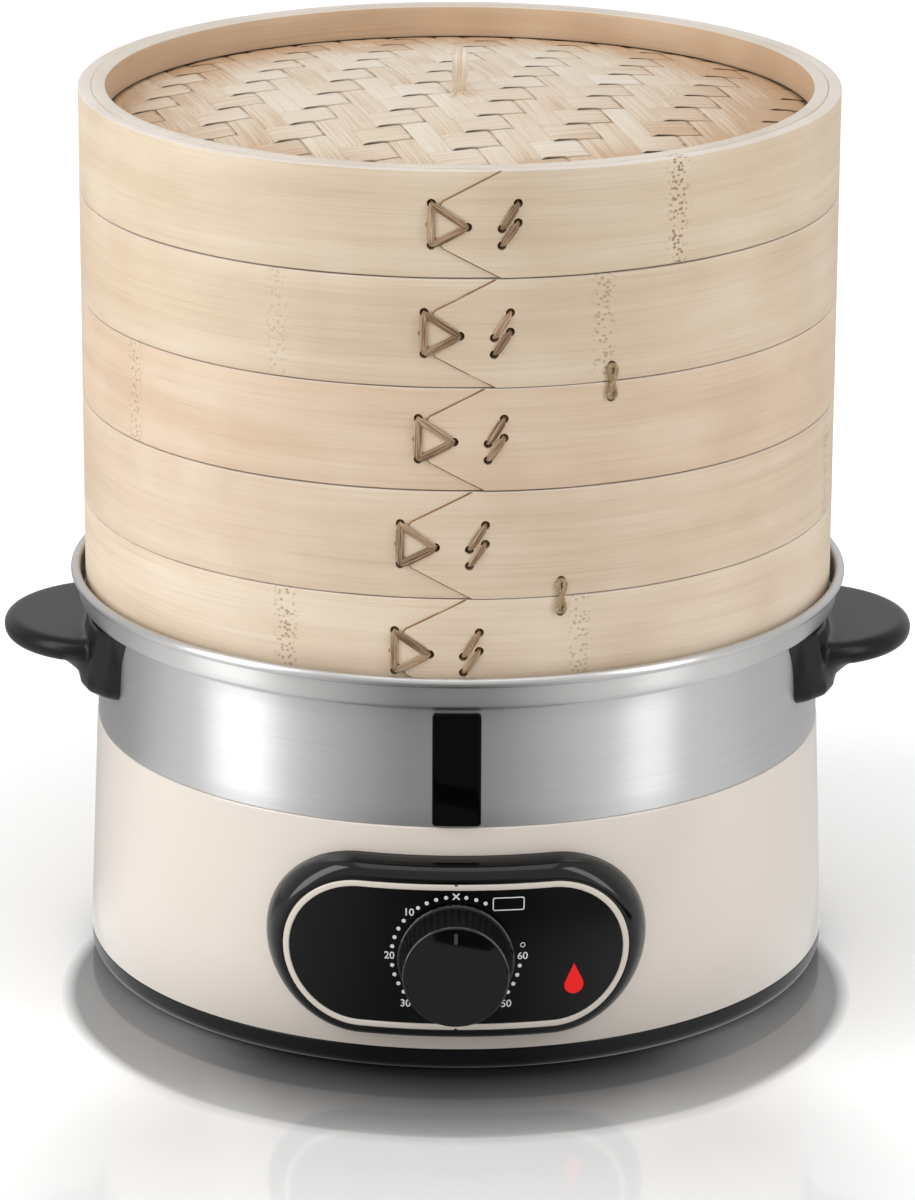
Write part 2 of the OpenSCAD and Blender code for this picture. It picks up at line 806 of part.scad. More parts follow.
// Places round the panel as [share of the way from the middle to an end's centre, angle]
panel_places = concat(
    [for (i = [0:boss_end_steps]) [1, -90 + 180 * i / boss_end_steps]],
    [for (i = [1:boss_side_steps - 1]) [1 - 2 * i / boss_side_steps, 90]],
    [for (i = [0:boss_end_steps]) [-1, 90 + 180 * i / boss_end_steps]],
    [for (i = [1:boss_side_steps - 1]) [2 * i / boss_side_steps - 1, 270]]);

// A closed line round the panel, grown by above over it and by below under it,
// at radius r or on the shell, as points
function panel_line(above, below, r) =
    [for (p = panel_places)
        let (grow = below + (above - below) * (1 + sin(p[1])) / 2,
            x = p[0] * (panel_w - panel_h) / 2 + (panel_h / 2 + grow) * cos(p[1]),
            z = dial_z + (panel_h / 2 + grow) * sin(p[1]),
            rr = r < 0 ? shell_r(z) + seat : r)
        [x, -sqrt(rr * rr - x * x), z]];

// The raised frame round the panel, lofted through four lines
module boss_frame() {
    soft = boss_edge + 0.4;
    crisp = boss_edge - 0.3;
    lines = [panel_line(boss_flare, boss_flare_low, -1), panel_line(soft, soft, panel_r - 0.5),
        panel_line(crisp, crisp, panel_r), panel_line(seat, seat, panel_r), panel_line(seat, seat, -1)];
    n = len(panel_places);
    m = len(lines);
    pts = [for (l = lines) each l];
    faces = [for (j = [0:m - 1], i = [0:n - 1])
        let (a = j * n + i, b = j * n + (i + 1) % n,
            c = ((j + 1) % m) * n + (i + 1) % n, d = ((j + 1) % m) * n + i)
        each [[a, c, b], [a, d, c]]];
    polyhedron(pts, faces);
}

module control_bezel() {
    color([0.05, 0.05, 0.06]) difference() {
        union() {
            boss_frame();
            difference() {
                intersection() {
                    cylinder(r = recess_r, h = seat_z, $fn = FN);
                    translate([0, 0, dial_z]) front_extrude(CUT_Y0, CUT_Y1)
                        stadium(panel_w + 2 * boss_root, panel_h + 2 * boss_root);
                }
                rotate_extrude($fn = FN) polygon([[0, tray_h], [shell_bottom_r + boss_root / 2, tray_h],
                    [shell_top_r + boss_root / 2, seat_z], [0, seat_z]]);
            }
            intersection() {
                cylinder(r = recess_r - 0.5, h = seat_z, $fn = FN);
                translate([0, 0, dial_z]) front_extrude(timer_y, CUT_Y1) round_rect(plug_w, plug_h, 5);
            }
        }
        front_pin(0, dial_z, 6, CUT_Y0, CUT_Y1);
        for (s = [-1, 1]) {
            front_pin(s * timer_screw_x, dial_z, m3_r + shank_gap, CUT_Y0, CUT_Y1);
            front_pin(s * timer_screw_x, dial_z, m3_head_r + 0.3, timer_head_y, CUT_Y1);
            front_pin(s * bezel_screw_x, dial_z, m3_r + thread_gap, CUT_Y0, recess_r - 3.2);
        }
        front_pin(drop_x, drop_z, lamp_r + 0.2, CUT_Y0, CUT_Y1);
    }
}

module panel_trim() {
    color([0.86, 0.83, 0.77]) intersection() {
        ring(recess_r + seat, trim_face_r, 0, seat_z);
        translate([0, 0, dial_z]) front_extrude(CUT_Y0, CUT_Y1) difference() {
            stadium(panel_w, panel_h);
            stadium(panel_w - 2 * trim_w, panel_h - 2 * trim_w);
        }
    }
}

module drop(grow) {
    r = drop_r + grow;
    tip = drop_h - drop_r + grow;
    t = acos(r / tip);
    polygon(concat([[0, tip]], arc(0, 0, r, 90 - t, t - 270, 20)));
}

module control_panel() {
    gap = trim_w + 0.08;
    color([0.08, 0.08, 0.09]) difference() {
        intersection() {
            ring(recess_r + seat, plate_face_r, 0, seat_z);
            translate([0, 0, dial_z]) front_extrude(CUT_Y0, CUT_Y1)
                stadium(panel_w - 2 * gap, panel_h - 2 * gap);
        }
        front_pin(0, dial_z, 5, CUT_Y0, CUT_Y1);
        translate([drop_x, 0, drop_z]) front_extrude(CUT_Y0, CUT_Y1) drop(0.1);
    }
}

module indicator_lens() {
    color([0.85, 0.08, 0.08]) intersection() {
        ring(recess_r + seat, plate_face_r + 0.15, 0, seat_z);
        translate([drop_x, 0, drop_z]) front_extrude(CUT_Y0, CUT_Y1) drop(0);
    }
}

module indicator_lamp() {
    y1 = sqrt(recess_r * recess_r - pow(drop_x + lamp_r, 2)) - 0.4;
    color([0.9, 0.45, 0.3]) {
        front_pin(drop_x, drop_z, lamp_r, y1 - 14, y1);
        front_pin(drop_x, drop_z, lamp_r + 1.4, y1 - 18, y1 - 14 + EPS);
    }
}

module bezel_screws() {
    back_y = sqrt(pow(shell_r(dial_z) - shell_t, 2) - pow(bezel_screw_x + m3_head_r, 2)) - 0.6;
    color("silver") for (s = [-1, 1]) {
        front_pin(s * bezel_screw_x, dial_z, m3_head_r, back_y - m3_head_h, back_y);
        front_pin(s * bezel_screw_x, dial_z, m3_r, back_y - EPS, back_y + 8);
    }
}

// ---------- knob and timer ----------

module timer_case() {
    color([0.82, 0.8, 0.72]) difference() {
        union() {
            difference() {
                translate([0, 0, dial_z]) front_extrude(timer_back_y, timer_front_y)
                    round_rect(timer_w, timer_h, 3);
                translate([0, 0, dial_z]) front_extrude(timer_back_y + timer_t, timer_front_y - timer_t)
                    round_rect(timer_w - 2 * timer_t, timer_h - 2 * timer_t, 2);
            }
            front_pin(0, dial_z, shaft_r + 3, timer_back_y, timer_back_y + 5);
            front_pin(0, dial_z, 2, timer_back_y - bell_d - 1, timer_back_y + EPS);
            for (s = [-1, 1])
                front_pin(s * timer_screw_x, dial_z, 3.6, timer_front_y - 8, timer_front_y);
        }
        front_pin(0, dial_z, shaft_r + shaft_gap, timer_back_y + 2, CUT_Y1, FN);
        for (s = [-1, 1])
            front_pin(s * timer_screw_x, dial_z, m3_r + thread_gap, timer_front_y - 7, CUT_Y1);
    }
}

module timer_shaft() {
    color("silver") front_pin(0, dial_z, shaft_r, timer_back_y + 2.2, shaft_end_y, FN);
}

module timer_cam() {
    y0 = timer_back_y + 11;
    color([0.9, 0.9, 0.85]) difference() {
        union() {
            front_pin(0, dial_z, 11, y0, y0 + 4, FN);
            front_pin(0, dial_z, shaft_r + 2.4, y0 - 3, y0 + 7, FN);
        }
        front_pin(0, dial_z, shaft_r + shaft_gap, CUT_Y0, CUT_Y1, FN);
        translate([-1.6, -y0 - 10, dial_z + 9.4]) cube([3.2, 20, 4]);
    }
}

module switch_contacts() {
    top = dial_z + timer_h / 2 - timer_t;
    color("goldenrod") for (i = [0, 1]) {
        translate([-17 + 10 * i, -timer_back_y - 16, top - 9.2]) cube([0.5, 6, 9.1]);
        translate([-17 + 10 * i, -timer_back_y - 16, top - 9.2 + 3.2 * i]) cube([6, 6, 0.5]);
        translate([-13 + 10 * i, -timer_back_y - 13, top - 10.2 + 3.2 * i])
            cylinder(r = 1.5, h = 1.2, $fn = FN_SMALL);
    }
}

module timer_bell() {
    color("silver") translate([0, -timer_back_y + 0.6, dial_z]) rotate([-90, 0, 0]) difference() {
        rotate_extrude($fn = FN) polygon([[0, bell_d], [bell_r - 4, bell_d], [bell_r, bell_d - 3.4],
            [bell_r, 0], [bell_r - 1, 0], [bell_r - 1, bell_d - 3.8],
            [bell_r - 4.4, bell_d - 1], [0, bell_d - 1]]);
        translate([0, 0, -1]) cylinder(r = 2.1, h = 20, $fn = FN_SMALL);
    }
}

module timer_screws() {
    color("silver") for (s = [-1, 1]) {
        front_pin(s * timer_screw_x, dial_z, m3_head_r, timer_head_y + 0.05, timer_head_y + 0.05 + m3_head_h);
        front_pin(s * timer_screw_x, dial_z, m3_r, timer_y - 6, timer_head_y + 0.05 + EPS);
    }
}

module timer_knob() {
    grip_r = face_r + 0.7;
    color([0.08, 0.08, 0.09]) difference() {
        translate([0, -knob_y0, dial_z]) rotate([90, 0, 0]) rotate_extrude($fn = FN)
            polygon([[0, 0], [skirt_r, 0], [skirt_r, skirt_t - 0.6], [skirt_r - 0.6, skirt_t],
                [grip_r, skirt_t], [face_r, knob_d - 1], [face_r - 1, knob_d], [0, knob_d]]);
        front_pin(0, dial_z, shaft_r + thread_gap, CUT_Y0, shaft_end_y + 0.5, FN);
        for (i = [0:knurl_count - 1]) translate([0, 0, dial_z]) rotate([0, i * 360 / knurl_count, 0])
            front_pin(face_r + 0.45, 0, knurl_r, knob_y0 + skirt_t, knob_y1 + 1, 16);
        translate([0, 0, dial_z + face_r * 0.76]) front_extrude(knob_y1 - 0.7, knob_y1 + 1)
            round_rect(1.5, 4.6, 0.7);
    }
}

module knob_pointer() {
    color("white") translate([0, 0, dial_z + face_r * 0.76])
        front_extrude(knob_y1 - 0.65, knob_y1 + 0.05) round_rect(1.4, 4.5, 0.65);
}

// ---------- heater ----------

module element_cut(r) {
    rotate_extrude($fn = FN) translate([element_ring_r, plate_z]) circle(r = r, $fn = FN_SMALL);
}

module heating_plate() {
    color([0.7, 0.7, 0.72]) difference() {
        ring(0, plate_r, plate_z, pot_floor_z - 0.02);
        element_cut(element_r + 0.15);
        translate([0, 0, plate_z - 1]) cylinder(r = stud_r + shank_gap, h = 20, $fn = FN);
    }
}

module heating_element() {
    color([0.45, 0.46, 0.45]) {
        rotate([0, 0, element_gap_a / 2]) rotate_extrude(angle = 360 - element_gap_a, $fn = FN)
            translate([element_ring_r, plate_z]) circle(r = element_r, $fn = FN_SMALL);
        for (s = [-1, 1]) rotate([0, 0, s * element_leg_a]) translate([element_ring_r, 0, plate_z]) {
            translate([0, 0, -element_leg_h]) cylinder(r = element_leg_r, h = element_leg_h, $fn = FN_SMALL);
            translate([0, 0, -element_leg_h - element_tail_h])
                cylinder(r = 1.6, h = element_tail_h + 1, $fn = FN_SMALL);
        }
    }
}

module plate_stud() {
    color("silver") translate([0, 0, shield_z - 8])
        cylinder(r = stud_r, h = pot_floor_z - shield_z + 8, $fn = FN);
}

module plate_nuts() {
    color("gray") for (z = [plate_z - 6.6, shield_z - 6.6]) difference() {
        translate([0, 0, z]) cylinder(r = 7.5, h = 6.5, $fn = 6);
        translate([0, 0, z - 1]) cylinder(r = stud_r + thread_gap, h = 9, $fn = FN);
    }
}

module thermostat() {
    color([0.25, 0.2, 0.18]) translate([thermostat_x, thermostat_y, 0]) {
        translate([0, 0, plate_z - 7.05]) cylinder(r = 8, h = 7, $fn = FN);
        translate([0, 0, plate_z - 2.05]) cylinder(r = 9.5, h = 1, $fn = FN);
        for (s = [-1, 1]) translate([s * 4 - 1.6, -0.4, plate_z - 14]) cube([3.2, 0.8, 8]);
    }
}

module thermal_fuse() {
    color("silver") {
        translate([fuse_x - 11, fuse_y, plate_z - 4.1]) rotate([0, 90, 0])
            cylinder(r = 2.6, h = 22, $fn = FN_SMALL);
        translate([fuse_x - 5, fuse_y - 6, plate_z - 1.45]) cube([10, 12, 1.4]);
        translate([fuse_x - 5, fuse_y - 3.6, plate_z - 4.5]) cube([10, 7.2, 3.2]);
    }
}

module heat_shield() {
    color([0.75, 0.75, 0.76]) difference() {
        rotate_extrude($fn = FN) polygon([[0, shield_z], [shield_r - 6, shield_z],
            [shield_r, shield_z + 6], [shield_r, shield_z + 12], [shield_r - 0.8, shield_z + 12],
            [shield_r - 0.8, shield_z + 6.4], [shield_r - 6.4, shield_z + 0.8], [0, shield_z + 0.8]]);
        translate([0, 0, shield_z - 1]) cylinder(r = stud_r + shank_gap, h = 4, $fn = FN);
        for (s = [-1, 1]) rotate([0, 0, s * element_leg_a])
            translate([element_ring_r, 0, shield_z - 1]) cylinder(r = element_r + 2, h = 4, $fn = FN_SMALL);
        translate([thermostat_x, thermostat_y, shield_z - 1]) cylinder(r = 9, h = 4, $fn = FN_SMALL);
    }
}

module tie_rods() {
    color("silver") difference() {
        rod_places() translate([0, 0, boss_top_z + 0.02])
            cylinder(r = rod_r, h = pot_floor_z - boss_top_z - 0.04, $fn = FN_SMALL);
        rod_places() translate([0, 0, boss_top_z - 1])
            cylinder(r = m4_r + thread_gap, h = 13, $fn = FN_SMALL);
    }
}

// ---------- wires ----------

// A smooth line through hand-chosen points
function spline(p, i, t) =
    let (n = len(p) - 1, a = p[max(i - 1, 0)], b = p[i], c = p[i + 1], d = p[min(i + 2, n)])
    0.5 * (2 * b + (c - a) * t + (2 * a - 5 * b + 4 * c - d) * t * t
        + (3 * b - a - 3 * c + d) * t * t * t);

function unit(v) = v / norm(v);

module wire(points, steps = 4) {
    n = len(points) - 1;
    path = concat([for (i = [0:n - 1], k = [0:steps - 1]) spline(points, i, k / steps)], [points[n]]);
    last = len(path) - 1;
    rings = [for (i = [0:last])
        let (d = unit(path[min(i + 1, last)] - path[max(i - 1, 0)]),
            side = unit(cross(d, abs(d[2]) > 0.9 ? [1, 0, 0] : [0, 0, 1])),
            up = cross(side, d))
        for (k = [0:wire_sides - 1])
            let (a = k * 360 / wire_sides) path[i] + wire_r * (side * cos(a) + up * sin(a))];
    s = wire_sides;
    walls = [for (i = [0:last - 1], k = [0:s - 1])
        let (a = i * s + k, b = i * s + (k + 1) % s)
        each [[a, b, b + s], [a, b + s, a + s]]];
    polyhedron(rings, concat([[for (k = [s - 1:-1:0]) k]], walls, [[for (k = [0:s - 1]) last * s + k]]));
}

// Live: from the inlet to the timer's switch
module live_wire() {
    color("saddlebrown") wire([[-7, inlet_tail_y - wire_gap, inlet_z - 3],
        [-7, inlet_tail_y - 6, inlet_z - 3],
        [-30, inlet_tail_y - 18, 24], [-70, 60, 14], [-106, 10, 12], [-98, -50, 13],
        [-60, -90, 16], [-36, -timer_back_y + 12, 32], [-16, -timer_back_y + 6, dial_z + 18],
        [-16, -timer_back_y + wire_gap, dial_z + 18]]);
}

// Switched live: from the timer to the thermostat
module load_wire() {
    x = thermostat_x - 4;
    color("black") wire([[16, -timer_back_y + wire_gap, dial_z + 18], [16, -timer_back_y + 6, dial_z + 18],
        [34, -timer_back_y + 16, dial_z + 4], [34, -timer_back_y + 36, 30], [x + 4, -44, 36], [x, -24, 46],
        [x, thermostat_y, plate_z - 22], [x, thermostat_y, plate_z - 14 - wire_gap]]);
}

// Neutral: from the inlet to the element
module neutral_wire() {
    x = element_ring_r * cos(element_leg_a);
    y = element_ring_r * sin(element_leg_a);
    tail_z = plate_z - element_leg_h - element_tail_h;
    color("royalblue") wire([[7, inlet_tail_y - wire_gap, inlet_z - 3], [7, inlet_tail_y - 6, inlet_z - 3],
        [14, inlet_tail_y - 20, 30], [30, 60, 24], [x, y + 16, 28], [x, y, tail_z - 8],
        [x, y, tail_z - wire_gap]]);
}

// Earth: from the inlet to a tie rod
module earth_wire() {
    x = -rod_ring_r;
    color("yellowgreen") wire([[0, inlet_tail_y - wire_gap, inlet_z + 4.5],
        [0, inlet_tail_y - 6, inlet_z + 4.5],
        [-20, inlet_tail_y - 16, inlet_z + 4], [-60, 70, 44], [x, 30, 40], [x, rod_r + 6, 40],
        [x, rod_r + wire_gap, 40]]);
}

// ---------- inlet ----------

module back_extrude(y0, y1) {
    mirror([0, 1, 0]) front_extrude(y0, y1) children();
}

module inlet_socket() {
    color([0.06, 0.06, 0.07]) difference() {
        union() {
            difference() {
                translate([0, 0, inlet_z]) back_extrude(CUT_Y0, inlet_face_y) round_rect(inlet_w, inlet_h, 5);
                rotate_extrude($fn = FN) polygon([[0, tray_h], [shell_bottom_r + seat, tray_h],
                    [shell_top_r + seat, seat_z], [0, seat_z]]);
            }
            translate([0, 0, inlet_z]) back_extrude(inlet_face_y - 2 - inlet_body_d, inlet_face_y - 0.5)
                round_rect(inlet_body_w, inlet_body_h, 1.6);
        }
        translate([0, 0, inlet_z]) back_extrude(inlet_face_y - inlet_body_d, CUT_Y1)
            round_rect(inlet_body_w - 3, inlet_body_h - 3.4, 2.4);
        mirror([0, 1, 0]) {
            for (s = [-1, 1]) {
                front_pin(s * inlet_screw_x, inlet_z, m3_r + shank_gap, CUT_Y0, CUT_Y1);
                front_pin(s * inlet_screw_x, inlet_z, m3_head_r + 0.3, inlet_face_y - 1.2, CUT_Y1);
            }
        }
        for (p = inlet_pin_places) translate([p[0], 0, inlet_z + p[1]])
            back_extrude(CUT_Y0, CUT_Y1) square([pin_w + 0.1, pin_t + 0.1], center = true);
    }
}

module inlet_pins() {
    color("silver") for (p = inlet_pin_places) translate([p[0], 0, inlet_z + p[1]])
        back_extrude(inlet_tail_y + 0.1, inlet_face_y - 5) square([pin_w, pin_t], center = true);
}

module inlet_screws() {
    color("silver") mirror([0, 1, 0]) for (s = [-1, 1]) {
        front_pin(s * inlet_screw_x, inlet_z, m3_head_r, inlet_face_y - 1.15, inlet_face_y + 0.4);
        front_pin(s * inlet_screw_x, inlet_z, m3_r, inlet_face_y - 12, inlet_face_y - 1.1);
    }
}

// ---------- handles ----------

function oval(a, b) = [for (i = [0:71]) [a * cos(i * 5), b * sin(i * 5)]];

// The right handle, along +X
module handle() {
    difference() {
        union() {
            hull() for (s = [[0, wing_edge * 0.8], [wing_edge * 0.35, wing_edge * 0.2], [wing_edge, 0]],
                    side = [-1, 1])
                translate([wing_x, 0, wing_top_z - wing_t / 2 + side * (wing_t / 2 - s[0]) - 0.05])
                    linear_extrude(0.1) polygon(oval(wing_a - s[1], wing_b - s[1]));
            intersection() {
                translate([steel_r + block_t - block_b, 0, block_z]) linear_extrude(block_h)
                    round_rect(2 * block_b, 2 * block_b, block_corner);
                translate([0, -block_b - 1, 0]) cube([2 * steel_r, 2 * block_b + 2, flare_z]);
            }
        }
        translate([0, 0, -1]) cylinder(r = steel_r + 0.15, h = 400, $fn = 2 * FN);
        for (s = [-1, 1]) radial_pin(90 + s * handle_screw_a, handle_screw_z,
            m4_r + thread_gap, steel_r - 4, steel_r + handle_screw_l + 0.5);
    }
}

module right_handle() {
    color([0.1, 0.1, 0.1]) handle();
}

module left_handle() {
    color([0.1, 0.1, 0.1]) mirror([1, 0, 0]) handle();
}

module handle_screws() {
    head_r0 = pot_ri - seat - m4_head_h;
    color("silver") for (side = [-90, 90], s = [-handle_screw_a, handle_screw_a]) {
        radial_pin(side + s, handle_screw_z, m4_head_r, head_r0, head_r0 + m4_head_h);
        radial_pin(side + s, handle_screw_z, m4_r, head_r0 + m4_head_h - EPS, steel_r + handle_screw_l);
    }
}

base_tray();
foot_ring();
tray_screws();
outer_shell();
water_pot();
window_lens();
window_gasket();
control_bezel();
panel_trim();
control_panel();
indicator_lens();
indicator_lamp();
bezel_screws();
timer_case();
timer_bell();
timer_screws();
switch_contacts();
heating_plate();
heating_element();
plate_stud();
plate_nuts();
thermostat();
thermal_fuse();
heat_shield();
tie_rods();
live_wire();
load_wire();
neutral_wire();
earth_wire();
inlet_socket();
inlet_pins();
inlet_screws();
left_handle();
right_handle();
handle_screws();
timer_knob();
knob_pointer();
timer_shaft();
timer_cam();
lower_basket_bottom_band();
lower_basket_top_band();
lower_basket_hoop();
lower_basket_slats();
lower_basket_rails();
lower_basket_lacing();
lower_basket_tie();
upper_basket_bottom_band();
upper_basket_top_band();
upper_basket_hoop();
upper_basket_slats();
upper_basket_rails();
upper_basket_lacing();
upper_basket_tie();
lid_band();
lid_hoop();
lid_rim_hoop();
lid_mat();
lid_loop();
lid_lacing();
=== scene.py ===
import random
from itertools import repeat
from math import (acos, atan2, copysign, cos, degrees, exp, floor, hypot, pi, radians, sin, sqrt,
                  tau)

import bmesh
import bpy
from mathutils import Matrix, Vector, noise


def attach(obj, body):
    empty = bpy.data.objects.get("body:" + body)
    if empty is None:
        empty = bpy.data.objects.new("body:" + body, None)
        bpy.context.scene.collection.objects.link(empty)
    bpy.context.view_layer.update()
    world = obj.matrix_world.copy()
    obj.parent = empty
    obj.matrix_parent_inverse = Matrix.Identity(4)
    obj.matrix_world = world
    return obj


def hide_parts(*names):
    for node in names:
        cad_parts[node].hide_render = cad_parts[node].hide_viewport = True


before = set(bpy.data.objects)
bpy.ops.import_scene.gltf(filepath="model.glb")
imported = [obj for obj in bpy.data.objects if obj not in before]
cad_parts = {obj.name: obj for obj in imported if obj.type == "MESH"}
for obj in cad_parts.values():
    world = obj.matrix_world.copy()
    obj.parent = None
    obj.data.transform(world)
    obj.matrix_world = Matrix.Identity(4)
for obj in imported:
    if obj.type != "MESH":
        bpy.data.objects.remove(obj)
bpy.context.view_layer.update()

MM = 0.001
ALONG_Y = (pi / 2, 0, 0)

# Sizes in millimetres, as in the part's source
RING_R, BAND_T, HOOP_RO, HOOP_RI = 150.0, 5.2, 144.5, 139.2
NEST_H, HOOP_LIFT, RAIL_W, RAIL_H, RAIL_Y = 8.0, 8.4, 12, 6, (-78, 0, 78)
TRAY_R, TRAY_H, SHELL_BOTTOM_R, SHELL_TOP_R = 149.2, 10.5, 149.5, 145.9
POT_FLOOR_Z, SEAT_Z, FLARE_Z, LEDGE_Z, RIM_Z = 84.0, 100.5, 148.7, 151.0, 163.6
POT_RI, NECK_R, STEEL_R, COLLAR_RI, COLLAR_RO, BEAD_R = 143.9, 144.7, 145.5, 151.8, 152.6, 2.0
LOWER_Z, LOWER_SPLIT_Z, LOWER_END_Z = 151.2, 193.6, 236.0
UPPER_Z, UPPER_SPLIT_Z, UPPER_END_Z = 236.2, 276.2, 318.2
LID_Z, LID_END_Z, MAT_TOP_Z, MAT_RISE = 318.4, 359.4, 346.6, 10.0
DIAL_Z, PANEL_W, PANEL_H, TRIM_W = 51.5, 133.6, 59.7, 2.4
RECESS_R, PLATE_FACE_R, PANEL_R, TRIM_FACE_R = 153.86, 156.76, 157.06, 157.26
BOSS_FLARE, BOSS_EDGE, PLUG_W, PLUG_H = 8.0, 1.5, 60.4, 54.4
DROP_X, DROP_Z, INLET_Z, BEZEL_SCREW_X, INLET_SCREW_X = 45.5, 38.1, 45.0, 39.0, 20.0
KNOB_Y0, KNOB_D, SKIRT_R, FACE_R, KNURLS = 157.76, 19.6, 22.5, 20.5, 48


# ---------- tools of the bench; all sizes they take are in millimetres ----------

def mm(*values):
    """Millimetres as metres."""
    return tuple(value * MM for value in values)


def leave():
    """Go back to object mode."""
    bpy.ops.object.mode_set(mode="OBJECT")


def clear():
    """Leave nothing selected."""
    if bpy.context.object and bpy.context.object.mode != "OBJECT":
        leave()
    bpy.ops.object.select_all(action="DESELECT")


def select(*pieces):
    """Select these pieces alone; the first one is active."""
    clear()
    for piece in pieces:
        piece.select_set(True)
    bpy.context.view_layer.objects.active = pieces[0]


def named(name):
    """Name the primitive that was just added."""
    piece = bpy.context.object
    piece.name = name
    piece.data.name = name
    return piece


def freeze(piece):
    """Apply a piece's place, turn and scale."""
    select(piece)
    bpy.ops.object.transform_apply(location=True, rotation=True, scale=True)
    return piece


def edit(piece, mode="VERT"):
    """Open a piece in edit mode with nothing selected."""
    select(piece)
    bpy.ops.object.mode_set(mode="EDIT")
    bpy.ops.mesh.select_mode(type=mode)
    bpy.ops.mesh.select_all(action="DESELECT")


def everything():
    """Select the whole mesh."""
    bpy.ops.mesh.select_all(action="SELECT")


def pick(piece, mode, test):
    """Select the vertices, or the edges whose two ends, pass a test of their places."""
    bpy.ops.mesh.select_mode(type=mode)
    bpy.ops.mesh.select_all(action="DESELECT")
    mesh = bmesh.from_edit_mesh(piece.data)
    for item in mesh.edges if mode == "EDGE" else mesh.verts:
        ends = item.verts if mode == "EDGE" else [item]
        item.select_set(test(*[end.co for end in ends]))
    mesh.select_flush_mode()


def round_edges(piece, width, segments, test):
    """Round the edges whose two ends pass a test, on a piece that is open in edit mode."""
    pick(piece, "EDGE", test)
    bpy.ops.mesh.bevel(offset=width * MM, segments=segments, affect="EDGES")


def extrude(*move):
    """Extrude the selection by a move."""
    bpy.ops.mesh.extrude_region_move(TRANSFORM_OT_translate={"value": mm(*move)})


def face_out():
    """Select everything and turn the faces outwards."""
    everything()
    bpy.ops.mesh.normals_make_consistent(inside=False)


def modify(piece, kind, **settings):
    """Add a modifier and apply it."""
    select(piece)
    bpy.ops.object.modifier_add(type=kind)
    change = piece.modifiers[-1]
    for key, value in settings.items():
        setattr(change, key, value)
    bpy.ops.object.modifier_apply(modifier=change.name)


def weld(piece):
    """Close the seams and poles and turn the faces outwards."""
    edit(piece)
    everything()
    bpy.ops.mesh.remove_doubles(threshold=0.002 * MM)
    face_out()
    leave()
    return piece


def join(name, pieces):
    """Make one piece of several."""
    select(*pieces)
    if len(pieces) > 1:
        bpy.ops.object.join()
    return named(name)


def carve(piece, cutter, operation="DIFFERENCE"):
    """Cut a piece with another, which is then thrown away."""
    modify(piece, "BOOLEAN", object=cutter, operation=operation, solver="EXACT")
    bpy.data.objects.remove(cutter)


def settle(piece, body, finishes, slot, *nodes, angle=35):
    """Apply a piece's place, shade it, give it its finishes and hang it on its body."""
    freeze(piece)
    bpy.ops.object.shade_smooth_by_angle(angle=radians(angle))
    for finish in finishes if isinstance(finishes, list) else [finishes]:
        piece.data.materials.append(finish)
    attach(piece, body)
    if nodes:
        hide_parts(*nodes)


def second_finish(piece, test):
    """Give the faces that pass a test the second of the piece's finishes."""
    for face in piece.data.polygons:
        face.material_index = int(test(face))


def block(name, centre, size, turn=(0, 0, 0)):
    """A box."""
    clear()
    bpy.ops.mesh.primitive_cube_add(size=1, location=mm(*centre), scale=mm(*size), rotation=turn)
    return freeze(named(name))


def rod(name, sides, radius, depth, centre, turn=(0, 0, 0), other=None):
    """A cylinder, oval when it has another radius along Y."""
    clear()
    size = {"radius": 1, "scale": mm(radius, other) + (1,)} if other else {"radius": radius * MM}
    bpy.ops.mesh.primitive_cylinder_add(vertices=sides, depth=depth * MM, location=mm(*centre),
                                        rotation=turn, **size)
    return freeze(named(name))


def prism(name, outline, move):
    """A flat outline of points, extruded by a move."""
    clear()
    bpy.ops.mesh.primitive_circle_add(vertices=len(outline), radius=1, fill_type="NGON")
    piece = named(name)
    for vertex, point in zip(piece.data.vertices, outline):
        vertex.co = Vector(point) * MM
    edit(piece, "FACE")
    face_out()
    extrude(*move)
    face_out()
    leave()
    return piece


def opening(piece, x, z, width, height, near, far):
    """Cut a box through a wall, from one Y to another."""
    carve(piece, block("opening", (x, (near + far) / 2, z), (width, abs(far - near), height)))


def bore(piece, x, z, radius, near, far):
    """Drill a wall along Y."""
    carve(piece, rod("drill", 32, radius, abs(far - near), (x, (near + far) / 2, z), ALONG_Y))


def chain(name, points):
    """A line of edges, extruded from one vertex through the points; it stays in edit mode."""
    clear()
    bpy.ops.mesh.primitive_plane_add(size=0.01)
    piece = named(name)
    edit(piece)
    everything()
    bpy.ops.mesh.merge(type="CENTER")
    bpy.ops.transform.translate(value=mm(*points[0]))
    for before, after in zip(points, points[1:]):
        extrude(*[b - a for a, b in zip(before, after)])
    return piece


def lathe(name, profile, steps=256):
    """Spin a line of (radius, height) points about the Z axis."""
    piece = chain(name, [(radius, 0, z) for radius, z in profile])
    everything()
    bpy.ops.mesh.spin(steps=steps, angle=tau, center=(0, 0, 0), axis=(0, 0, 1))
    leave()
    return weld(piece)


def cord(name, points, radius):
    """A round cord: a chain of edges turned into a curve and thickened."""
    select(chain(name, points))
    bpy.ops.object.convert(target="CURVE")
    curve = bpy.context.object.data
    curve.bevel_depth, curve.bevel_resolution, curve.use_fill_caps = radius * MM, 2, True
    bpy.ops.object.convert(target="MESH")
    return bpy.context.object


def sheet(name, columns, rows, place, size=(1, 1), shift=(0, 0)):
    """Lay a grid out by place(u, v), with a UV map of its real size in metres."""
    clear()
    bpy.ops.mesh.primitive_grid_add(x_subdivisions=columns, y_subdivisions=rows, size=2)
    piece = named(name)
    for vertex in piece.data.vertices:
        u, v = (vertex.co.x + 1) / 2, (vertex.co.y + 1) / 2
        vertex.co = Vector(place(u, v)) * MM
    for corner in piece.data.uv_layers.active.data:
        corner.uv = (corner.uv[0] * size[0] + shift[0], corner.uv[1] * size[1] + shift[1])
    return piece


